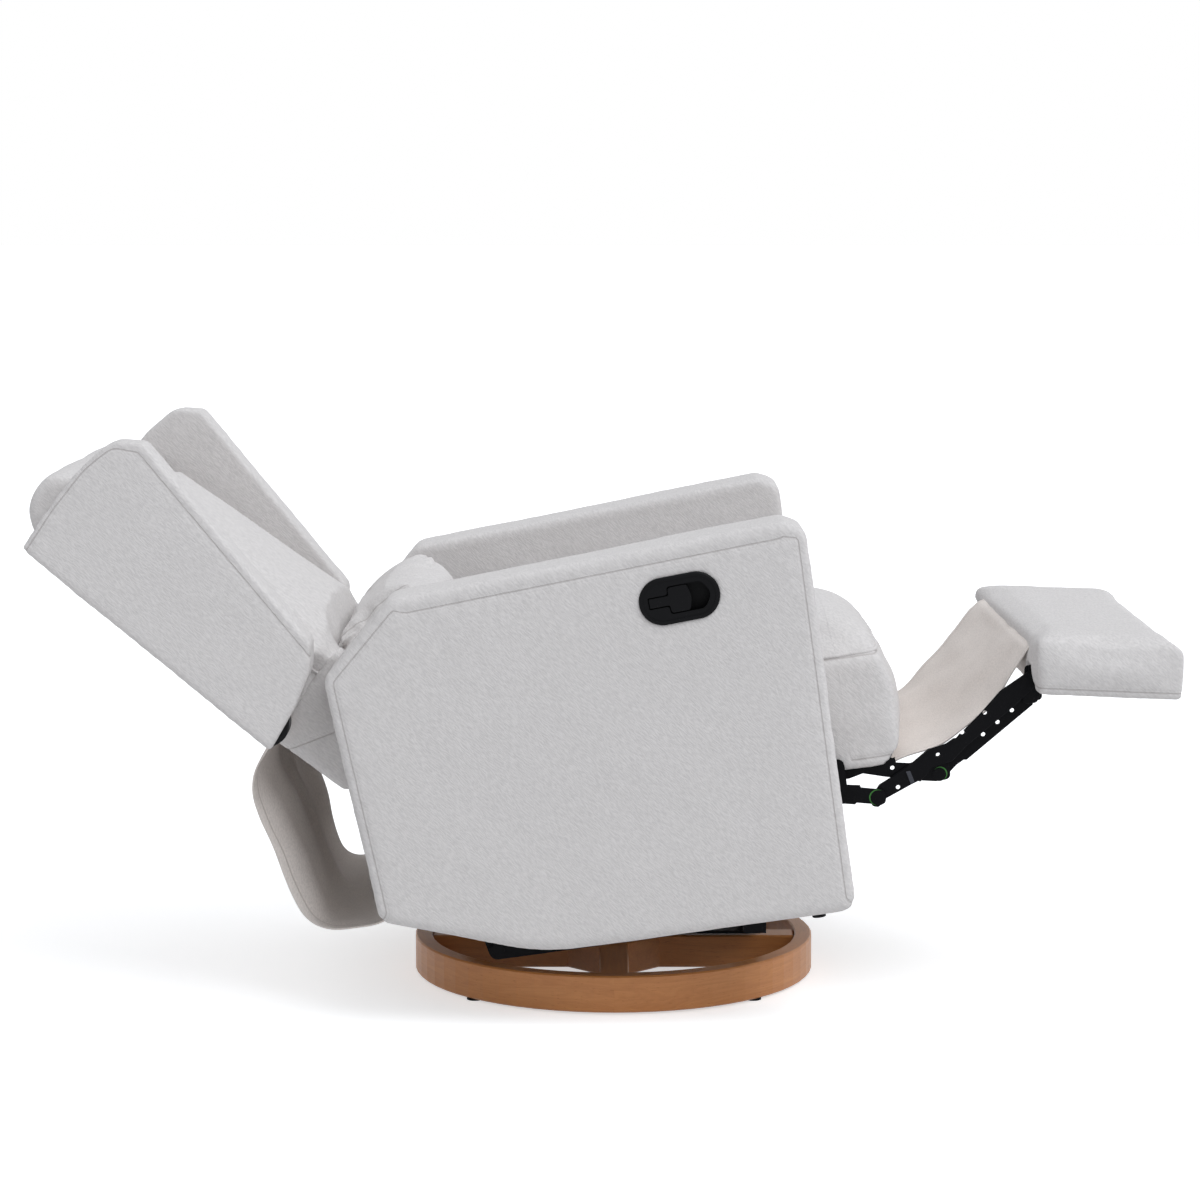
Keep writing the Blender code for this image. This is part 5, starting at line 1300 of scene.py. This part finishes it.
def make_rear_flap():
    """Makes the flap that hangs in a loop from the back panel to the rear seat rail."""
    panel_low, _ = extent("back_panel", PAD)
    rail_low, _ = extent("seat_rail_rear", CHAIR)
    to_chair = CHAIR.inverted() @ PAD
    top = to_chair @ at(panel_low[1] - FLAP_OFF_FACE, 0.0)
    lapped = to_chair @ at(panel_low[1] - FLAP_OFF_FACE, REAR_FLAP_LAP)
    start = (-top.y, top.z)
    end = (rail_low[1] - FLAP_OFF_FACE, rail_low[2])
    route = [(-lapped.y, lapped.z)]
    route += [
        (start[0] + (end[0] - start[0]) * along, end[1] + (start[1] - end[1]) * rise)
        for along, rise in REAR_ROUTE_SHARES
    ]
    route.append((end[0], end[1] + REAR_FLAP_LAP))
    even, total = smooth_route(route, REAR_GRID[0])
    half = extent("rear_flap", CHAIR)[1][0]
    shape = sheet_form(even, half, REAR_GRID[1])
    piece = new_piece("rear_cloth_flap", to_mesh(shape, "rear_cloth_flap"), "lining")
    mesh = piece.data
    points, normals = get_points(mesh), get_normals(mesh)
    _, along = line_distance(side_view(points), even)
    run = along / total
    across = points[:, 0]
    ease = np.clip((run - 0.05) / 0.25, 0, 1) * np.clip((0.78 - run) / 0.3, 0, 1)
    ease = ease * ease * (3 - 2 * ease)
    bend = np.maximum(ease * math.radians(LEAF_BEND_DEG), 1e-4)
    beyond = np.clip((np.abs(across) - (half - SIDE_LEAF)) / SIDE_LEAF, 0, 1)
    turn = bend * beyond
    inner = half - SIDE_LEAF
    wide = inner + SIDE_LEAF * np.sin(turn) / bend
    deep = SIDE_LEAF * (1 - np.cos(turn)) / bend
    leaf = beyond > 0
    moved = points.copy()
    moved[:, 0] = np.where(leaf, np.sign(across) * wide, across)
    full = SIDE_LEAF * (1 - np.cos(bend)) / bend
    share = np.where(across < 0, 1.0, FAR_LEAF_SHARE)
    moved[:, 1] = points[:, 1] + share * (np.where(leaf, deep, 0.0) - full)
    drawn = np.clip(run / 0.15, 0, 1) * np.clip((0.62 - run) / 0.3, 0, 1)
    moved[:, 1] -= FAR_EDGE_FORWARD * drawn * np.clip(across / half, 0, 1)
    hang = np.clip(run / 0.12, 0, 1) * np.clip((1 - run) / 0.12, 0, 1)
    folds = 0.006 * np.sin(across / 0.019 + 1.3 * np.sin(across / 0.06)) * np.clip((0.62 - run) / 0.4, 0, 1)
    folds += 0.002 * wander(np.stack([across, along, 0 * along], axis=1), 0.045, 20.0)
    flip = -1.0 if normals[np.argmax(run > 0.3), 1] < 0 else 1.0
    moved += normals * (flip * folds * hang)[:, None]
    set_points(mesh, moved)
    edge = half - np.abs(across)
    store(mesh, "seam_a", SEAM_ZERO + np.clip(edge - 0.012, -SEAM_REACH, SEAM_REACH))
    store(mesh, "along", along + 1)
    finish_sheet(piece, SHEET_THICKNESS)
    piece.data.transform(CHAIR)
    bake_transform(piece)
    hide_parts("rear_flap")


def make_front_flap():
    """Makes the flap between the seat deck and the footrest."""
    steps, columns = FRONT_GRID
    even, total = smooth_route(FRONT_NEAR_ROUTE, steps)
    far, _ = smooth_route(FRONT_FAR_ROUTE, steps)
    half = extent("front_flap", CHAIR)[1][0]
    shape = sheet_form(even, half, columns)
    piece = new_piece("front_cloth_flap", to_mesh(shape, "front_cloth_flap"), "lining")
    mesh = piece.data
    points = get_points(mesh)
    _, along = line_distance(side_view(points), even)
    twist = 0.5 + 0.5 * points[:, 0] / half
    step = np.clip(along / total * steps, 0, steps)
    shift = np.array([(other - place)[:] for other, place in zip(far, even)])
    points[:, 1] -= twist * np.interp(step, np.arange(steps + 1), shift[:, 0])
    points[:, 2] += twist * np.interp(step, np.arange(steps + 1), shift[:, 1])
    set_points(mesh, points)
    normals = get_normals(mesh)
    run = along / total
    across = points[:, 0]
    hang = np.clip(run / 0.1, 0, 1) * np.clip((1 - run) / 0.1, 0, 1)
    drag = across / 0.05 + along / 0.045
    folds = 0.0024 * np.sin(drag) * (0.4 + 0.6 * np.abs(across) / half)
    folds += 0.002 * wander(np.stack([across, along, 0 * along], axis=1), 0.05, 22.0)
    waves = 0.002 * np.sin(along / 0.017 + 1.0) * np.clip((np.abs(across) - 0.15) / 0.08, 0, 1)
    set_points(mesh, points + normals * ((folds + waves) * hang)[:, None])
    store(mesh, "seam_a", SEAM_ZERO + np.clip(half - np.abs(across) - 0.01, -SEAM_REACH, SEAM_REACH))
    store(mesh, "along", along + 1)
    finish_sheet(piece, SHEET_THICKNESS)
    piece.data.transform(CHAIR)
    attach(piece, "seat")
    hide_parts("front_flap")
    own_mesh(piece)


# Handle

BEZEL_LENGTH = 0.1055
BEZEL_HEIGHT = 0.0615
BEZEL_PROUD = 0.006
CUP_DEPTH = 0.026
PADDLE_REAR = -0.0395
PADDLE_FRONT = 0.0165
PADDLE_NECK = -0.0135
PADDLE_STEM = 0.0125
PADDLE_HEIGHT = 0.0335
SHARP_SHADING = math.radians(40)


def plate_object(name, outline, thickness, side, rounding=0.0):
    """A flat moulded plate in side view, its outer face at a side place."""
    shape = slab_form(outline, thickness, rounding, 3)
    bmesh.ops.translate(shape, vec=(side + thickness / 2, 0, 0), verts=shape.verts)
    return new_piece(name, to_mesh(shape, name), "plastic")


def bezel_oval(name, shorter, lower, thickness, side, rounding=0.0):
    """An oval plate that is shorter and lower than the bezel."""
    outline = stadium(BEZEL_LENGTH - shorter, BEZEL_HEIGHT - lower, 24)
    return plate_object(name, outline, thickness, side, rounding)


def paddle_outline(rear, neck, front, nose, gap, radii):
    """The paddle with its stem, or the mouth round it at a gap: a lower half and its mirror image."""
    stem, half = PADDLE_STEM / 2 + gap, PADDLE_HEIGHT / 2 + gap
    places = ((rear, -stem), (neck, -stem), (neck, -half), (front - nose, -half), (front, 0.0))
    lower = [(*place, radius) for place, radius in zip(places, radii)]
    upper = [(forward, -up, radius) for forward, up, radius in reversed(lower[:-1])]
    return outline_of([*lower, *upper])


def make_handle():
    """Makes the oval escutcheon with its cup, and the paddle that lies in it."""
    handle = CHAIR @ Matrix.Translation(at(*HANDLE_PLACE, extent("arm_cover_right", CHAIR)[0][0]))
    handle = handle @ turned(-HANDLE_SLOPE_DEG)
    rim = bezel_oval("handle_escutcheon", 0.0, 0.0, BEZEL_PROUD + 0.002, -BEZEL_PROUD, 0.0028)
    cut(rim, bezel_oval("lip", 0.011, 0.011, 0.001, -BEZEL_PROUD - 0.0001))
    cut(rim, bezel_oval("cup", 0.014, 0.012, CUP_DEPTH, -BEZEL_PROUD + 0.003), "UNION")
    cut(rim, bezel_oval("inside", 0.019, 0.017, CUP_DEPTH - 0.006, -BEZEL_PROUD + 0.0045))
    mouth = paddle_outline(
        PADDLE_REAR - 0.0012, PADDLE_NECK - 0.001, (BEZEL_LENGTH - 0.02) / 2, 0.012, 0.0014,
        (0.002, 0.004, 0.008, 0.012, 0.02),
    )
    cut(rim, plate_object("mouth", mouth, 0.02, -BEZEL_PROUD - 0.006))
    rim.data.set_sharp_from_angle(angle=SHARP_SHADING)
    finish_piece(rim, handle, "seat", ["handle_bezel"])
    paddle = paddle_outline(
        PADDLE_REAR, PADDLE_NECK, PADDLE_FRONT, 0.005, 0.0, (0.001, 0.003, 0.006, 0.005, 0.03)
    )
    lever = plate_object("release_paddle", paddle, 0.005, -BEZEL_PROUD + 0.0004, 0.0009)
    lever.data.set_sharp_from_angle(angle=SHARP_SHADING)
    finish_piece(lever, handle, "lever", ["handle_lever"])


# Links

LINK_HOLE_RADIUS = 0.003
LINKS = (
    ("crank_link", "crank_links", 1, (
        (0.214, 0.268, 0.008), (0.3285, 0.2645, 0.006), (0.3526, 0.2602, 0.0006), (0.3531, 0.2571, 0.0006),
        (0.3665, 0.2538, 0.003), (0.384, 0.25, 0.009), (0.384, 0.23, 0.009), (0.368, 0.2325, 0.004),
        (0.3447, 0.2377, 0.0006), (0.3425, 0.2356, 0.0006), (0.329, 0.2385, 0.006), (0.214, 0.2515, 0.008),
    ), ()),
    ("long_link", "long_links", 2, (
        (0.364, 0.24, 0.007), (0.3782, 0.2565, 0.004), (0.3949, 0.2641, 0.004), (0.4244, 0.279, 0.01),
        (0.4511, 0.2952, 0.005), (0.4732, 0.2991, 0.004), (0.4837, 0.3046, 0.001), (0.4875, 0.3045, 0.001),
        (0.4933, 0.3102, 0.001), (0.5008, 0.3152, 0.002), (0.5257, 0.3348, 0.02), (0.5535, 0.3595, 0.01),
        (0.5933, 0.3798, 0.002), (0.5953, 0.3884, 0.001), (0.6022, 0.3884, 0.002), (0.6035, 0.3805, 0.003),
        (0.61, 0.3665, 0.005), (0.5667, 0.3349, 0.02), (0.5, 0.2925, 0.02), (0.478, 0.2745, 0.008),
        (0.452, 0.2705, 0.008), (0.4328, 0.2528, 0.001), (0.4301, 0.2542, 0.001), (0.4198, 0.2506, 0.003),
        (0.4011, 0.2432, 0.004), (0.3783, 0.2344, 0.003), (0.375, 0.226, 0.006), (0.3645, 0.229, 0.006),
    ), ((0.4025, 0.2496), (0.4608, 0.2855), (0.4963, 0.3112), (0.5294, 0.3333))),
    ("drive_link", "drive_links", 3, (
        (0.308, 0.2895, 0.008), (0.33, 0.2935, 0.006), (0.3845, 0.2945, 0.003), (0.4015, 0.2881, 0.001),
        (0.4036, 0.2896, 0.0004), (0.4046, 0.2817, 0.001), (0.4248, 0.2779, 0.01), (0.45, 0.2945, 0.008),
        (0.468, 0.2935, 0.008), (0.474, 0.277, 0.008), (0.4745, 0.25, 0.009), (0.4535, 0.2495, 0.006),
        (0.42, 0.256, 0.02), (0.3953, 0.263, 0.002), (0.3867, 0.2652, 0.002), (0.3588, 0.2735, 0.004),
        (0.34, 0.269, 0.01), (0.308, 0.2695, 0.008),
    ), ((0.3987, 0.2755), (0.4608, 0.2855))),
    ("front_link", "front_links", 4, (
        (0.6085, 0.3385, 0.006), (0.5966, 0.3375, 0.001), (0.5949, 0.3329, 0.001), (0.4986, 0.2714, 0.001),
        (0.4947, 0.272, 0.001), (0.4841, 0.2664, 0.003), (0.4709, 0.2553, 0.003), (0.4631, 0.2483, 0.003),
        (0.4561, 0.2483, 0.003), (0.4475, 0.255, 0.005), (0.45, 0.27, 0.006), (0.48, 0.2945, 0.01),
        (0.5804, 0.3557, 0.01), (0.6095, 0.3555, 0.008),
    ), ((0.5247, 0.3024), (0.5458, 0.3162), (0.5667, 0.3293))),
)
REST_PLATE = (
    (-0.0095, 0.0105, 0.006), (0.0165, 0.0105, 0.003), (0.0165, -0.0205, 0.002), (0.009, -0.039, 0.006),
    (-0.0105, -0.0425, 0.008),
)
STOP_TAB = (
    (0.4153, 0.2693, 0.001), (0.4212, 0.2694, 0.001), (0.4251, 0.2539, 0.001), (0.4195, 0.2517, 0.001),
)


def stamped_plate(name, corners, holes, middle, finish="steel", thickness=LINK_THICKNESS):
    """A plate stamped from sheet, with its holes punched."""
    shape = slab_form(outline_of(corners), thickness, 0.0005, 1)
    bmesh.ops.translate(shape, vec=(middle, 0, 0), verts=shape.verts)
    piece = new_piece(name, to_mesh(shape, name), finish)
    if holes:
        across = Matrix.Rotation(math.radians(90), 4, "Y")
        punches = bmesh.new()
        for forward, up in holes:
            bmesh.ops.create_cone(
                punches, cap_ends=True, segments=20, radius1=LINK_HOLE_RADIUS, radius2=LINK_HOLE_RADIUS,
                depth=thickness * 3, matrix=Matrix.Translation(at(forward, up, middle)) @ across,
            )
        cut(piece, new_piece("punches", to_mesh(punches, "punches"), finish))
    piece.data.set_sharp_from_angle(angle=SHARP_SHADING)
    return piece


# A rivet head's profile, as shares of its radius and height
DISC_PROFILE = ((0.0, 0.0), (1.0, 0.0), (1.0, 0.65), (0.8, 0.93), (0.0, 1.0))
DISC_STEPS = 32


def turned_disc(radius, height):
    """A rivet head spun from its profile, standing on the origin along X."""
    shape = bmesh.new()
    verts = [shape.verts.new((up * height, out * radius, 0.0)) for out, up in DISC_PROFILE]
    edges = [shape.edges.new(pair) for pair in zip(verts, verts[1:])]
    bmesh.ops.spin(
        shape, geom=verts + edges, cent=(0, 0, 0), axis=(1, 0, 0), angle=math.tau, steps=DISC_STEPS,
        use_merge=True,
    )
    bmesh.ops.remove_doubles(shape, verts=shape.verts, dist=0.00001)
    bmesh.ops.recalc_face_normals(shape, faces=shape.faces)
    return shape


def add_disc(name, forward, up, side, sign, radius, height, finish, body):
    """Puts a rivet head or washer on a link, facing outward."""
    shape = turned_disc(radius, height)
    turn = Matrix.Scale(sign, 4, (1, 0, 0))
    bmesh.ops.transform(shape, matrix=turn, verts=shape.verts)
    bmesh.ops.recalc_face_normals(shape, faces=shape.faces)
    bmesh.ops.translate(shape, vec=at(forward, up, sign * side), verts=shape.verts)
    piece = new_piece(name, to_mesh(shape, name), finish)
    piece.data.set_sharp_from_angle(angle=SHARP_SHADING)
    return finish_piece(piece, CHAIR, body)


# Rivets and washers: forward, up, layer they sit on, height above it, radius, thickness, finish, body
DISCS = (
    ("drive_rivet", 0.318, 0.28, 0, 0.0, 0.0068, 0.0012, "steel", "drive_links"),
    ("tail_washer", 0.3728, 0.241, 1, 0.0, 0.0108, 0.0005, "nylon", "long_links"),
    ("tail_rivet", 0.3743, 0.2405, 1, 0.0005, 0.0104, 0.0012, "steel", "long_links"),
    ("lower_washer", 0.4608, 0.259, 3, 0.0, 0.0095, 0.0005, "nylon", "drive_links"),
    ("lower_rivet", 0.4595, 0.2583, 3, 0.0005, 0.0091, 0.0009, "steel", "drive_links"),
    ("top_rivet", 0.598, 0.376, 2, 0.0, 0.0055, 0.0012, "steel", "long_links"),
)


def make_links():
    """Makes the stamped links with their rivets, washers, footrest plates and stop tabs."""
    for side, sign in SIDES:
        for node, body, layer, corners, holes in LINKS:
            piece = stamped_plate(f"stamped_{node}_{side}", corners, holes, sign * LINK_LAYERS[layer])
            finish_piece(piece, CHAIR, body, [f"{node}_{side}"])
        plate = stamped_plate(f"footrest_plate_{side}", REST_PLATE, (), sign * LINK_LAYERS[3])
        finish_piece(plate, FOOTREST, "footrest", [f"footrest_bracket_{side}"])
        tab_side = sign * (LINK_LAYERS[2] + LINK_THICKNESS / 2 + 0.0007)
        tab = stamped_plate(f"stop_tab_{side}", STOP_TAB, (), tab_side, "grey", 0.0014)
        finish_piece(tab, CHAIR, "long_links")
        for label, forward, up, layer, above, radius, height, finish, body in DISCS:
            seat = LINK_LAYERS[layer] + LINK_THICKNESS / 2 + above
            add_disc(f"{label}_{side}", forward, up, seat, sign, radius, height, finish, body)


def dress_frame():
    """Gives every node of the frame that still shows the finish of the real piece."""
    finishes = {
        "birch": "beam", "plywood": "plywood", "black_steel": "steel", "zinc": "zinc",
        "black_plastic": "plastic", "lining": "lining", "upholstery": "upholstery",
    }
    for entry in frame["record"]["subparts"]:
        node = frame["nodes"][entry["node"]]
        finish = "ring" if entry["node"] == "base_ring" else finishes[entry["material_slot"]]
        node.data.materials.clear()
        node.data.materials.append(FINISHES[finish])


# Stage

FILL_STRENGTH = 0.54
FILL_COLOUR = (0.93, 0.955, 1.0)
FLOOR_COLOUR = linear("#E6E6E6")
FLOOR_GLOW = 0.55
LAMPS = (
    ("key_lamp", (-0.40, -0.45, 0.80), 1.78, 40.0, (0.93, 0.965, 1.0)),
    ("top_lamp", (0.2, -0.1, 1.0), 0.3, 40.0, (0.95, 0.98, 1.0)),
)
CAMERA_PLACE = (-4.55, 0.0191, 1.093)
CAMERA_PITCH_DEG = 7.13
CAMERA_LENS = 98.3


def seen_directly(tree):
    """1 where the camera looks, also by way of a gloss or through glass, and 0 for the rest."""
    rays = add_node(tree, "ShaderNodeLightPath", {}).node.outputs
    bent = {0: rays["Is Glossy Ray"], 1: rays["Is Transmission Ray"]}
    bent = add_node(tree, "ShaderNodeMath", bent, operation="MAXIMUM")
    return add_node(tree, "ShaderNodeMath", {0: rays["Is Camera Ray"], 1: bent}, operation="MAXIMUM")


def make_stage(scene):
    """Makes the floor, the soft white surroundings, the lamps and the camera."""
    shape = bmesh.new()
    bmesh.ops.create_grid(shape, x_segments=1, y_segments=1, size=60.0)
    floor = bpy.data.objects.new("floor", to_mesh(shape, "floor"))
    scene.collection.objects.link(floor)
    made, tree, shader = new_material(
        "matt_white_floor_paint", Base_Color=(*FLOOR_COLOUR, 1.0), Roughness=0.9, Specular_IOR_Level=0.1
    )
    glow = add_node(tree, "ShaderNodeMath", {0: seen_directly(tree), 1: FLOOR_GLOW}, operation="MULTIPLY")
    glow = add_node(tree, "ShaderNodeEmission", {"Color": (1, 1, 1), "Strength": glow})
    both = add_node(tree, "ShaderNodeAddShader", {0: shader.outputs[0], 1: glow})
    tree.links.new(both, tree.nodes["Material Output"].inputs["Surface"])
    floor.data.materials.append(made)

    world = bpy.data.worlds.new("soft_studio")
    scene.world = world
    world.use_nodes = True
    tree = world.node_tree
    fill = tree.nodes["Background"]
    fill.inputs["Color"].default_value = (*FILL_COLOUR, 1.0)
    fill.inputs["Strength"].default_value = FILL_STRENGTH
    white = add_node(tree, "ShaderNodeBackground", {"Color": (1, 1, 1), "Strength": 1.0})
    both = add_node(tree, "ShaderNodeMixShader", {0: seen_directly(tree), 1: fill.outputs[0], 2: white})
    tree.links.new(both, tree.nodes["World Output"].inputs["Surface"])

    for name, toward, strength, angle, colour in LAMPS:
        lamp = bpy.data.lights.new(name, "SUN")
        lamp.energy = strength
        lamp.angle = math.radians(angle)
        lamp.color = colour
        holder = bpy.data.objects.new(name, lamp)
        scene.collection.objects.link(holder)
        holder.rotation_mode = "QUATERNION"
        holder.rotation_quaternion = Vector(toward).to_track_quat("Z", "Y")

    camera = bpy.data.objects.new("camera", bpy.data.cameras.new("camera"))
    scene.collection.objects.link(camera)
    camera.location = CAMERA_PLACE
    camera.rotation_euler = (math.radians(90 - CAMERA_PITCH_DEG), 0, math.radians(-90))
    camera.data.lens = CAMERA_LENS
    camera.data.sensor_width = 36.0
    scene.camera = camera
    scene.view_settings.view_transform = "Standard"


class RECLINER_OT_finishes(bpy.types.Operator):
    """Make the materials and give the frame's own pieces their finish"""

    bl_idname = "recliner.finishes"
    bl_label = "Finishes"

    def execute(self, context):
        make_finishes(context.scene)
        dress_frame()
        return {"FINISHED"}


class RECLINER_OT_arms(bpy.types.Operator):
    """Make both padded arms"""

    bl_idname = "recliner.arms"
    bl_label = "Arms"

    def execute(self, context):
        make_arms(context.scene)
        return {"FINISHED"}


class RECLINER_OT_wings(bpy.types.Operator):
    """Make both wings with the dust cover below them"""

    bl_idname = "recliner.wings"
    bl_label = "Wings"

    def execute(self, context):
        make_wings(context.scene)
        return {"FINISHED"}


class RECLINER_OT_back(bpy.types.Operator):
    """Make the back cushion, head roll, lumbar pillow, outside back and lower box"""

    bl_idname = "recliner.back"
    bl_label = "Back"

    def execute(self, context):
        make_back(context.scene)
        return {"FINISHED"}


class RECLINER_OT_seat(bpy.types.Operator):
    """Make the seat cushion and its welt"""

    bl_idname = "recliner.seat"
    bl_label = "Seat"

    def execute(self, context):
        make_seat(context.scene)
        return {"FINISHED"}


class RECLINER_OT_footrest(bpy.types.Operator):
    """Make the footrest's cushion"""

    bl_idname = "recliner.footrest"
    bl_label = "Footrest"

    def execute(self, context):
        make_footrest(context.scene)
        return {"FINISHED"}


class RECLINER_OT_flaps(bpy.types.Operator):
    """Make the cloth flaps behind the back and below the footrest"""

    bl_idname = "recliner.flaps"
    bl_label = "Cloth flaps"

    def execute(self, context):
        make_rear_flap()
        make_front_flap()
        return {"FINISHED"}


class RECLINER_OT_handle(bpy.types.Operator):
    """Make the release handle's escutcheon and paddle"""

    bl_idname = "recliner.handle"
    bl_label = "Handle"

    def execute(self, context):
        make_handle()
        return {"FINISHED"}


class RECLINER_OT_links(bpy.types.Operator):
    """Make the footrest's stamped links with their rivets and washers"""

    bl_idname = "recliner.links"
    bl_label = "Links"

    def execute(self, context):
        make_links()
        return {"FINISHED"}


class RECLINER_OT_stage(bpy.types.Operator):
    """Make the floor, the lamps, the world and the camera"""

    bl_idname = "recliner.stage"
    bl_label = "Stage"

    def execute(self, context):
        make_stage(context.scene)
        return {"FINISHED"}


OPERATORS = (
    RECLINER_OT_finishes, RECLINER_OT_arms, RECLINER_OT_wings, RECLINER_OT_back, RECLINER_OT_seat,
    RECLINER_OT_footrest, RECLINER_OT_flaps, RECLINER_OT_handle, RECLINER_OT_links, RECLINER_OT_stage,
)


class RECLINER_PT_panel(bpy.types.Panel):
    """Sizes, colours and steps of the recliner"""

    bl_label = "Glider recliner"
    bl_idname = "RECLINER_PT_panel"
    bl_space_type = "VIEW_3D"
    bl_region_type = "UI"
    bl_category = "Recliner"

    def draw(self, context):
        for group in (context.scene.recliner_sizes, context.scene.recliner_colours):
            for name in group.__annotations__:
                self.layout.prop(group, name)
        for operator in OPERATORS:
            self.layout.operator(operator.bl_idname)


CLASSES = (ReclinerSizes, ReclinerColours, *OPERATORS, RECLINER_PT_panel)


def register():
    for item in CLASSES:
        bpy.utils.register_class(item)
    bpy.types.Scene.recliner_sizes = PointerProperty(type=ReclinerSizes)
    bpy.types.Scene.recliner_colours = PointerProperty(type=ReclinerColours)


def unregister():
    del bpy.types.Scene.recliner_colours
    del bpy.types.Scene.recliner_sizes
    for item in reversed(CLASSES):
        bpy.utils.unregister_class(item)


def main():
    register()
    bpy.ops.recliner.finishes()
    bpy.ops.recliner.arms()
    bpy.ops.recliner.wings()
    bpy.ops.recliner.back()
    bpy.ops.recliner.seat()
    bpy.ops.recliner.footrest()
    bpy.ops.recliner.flaps()
    bpy.ops.recliner.handle()
    bpy.ops.recliner.links()
    bpy.ops.recliner.stage()


if __name__ == "__main__":
    main()
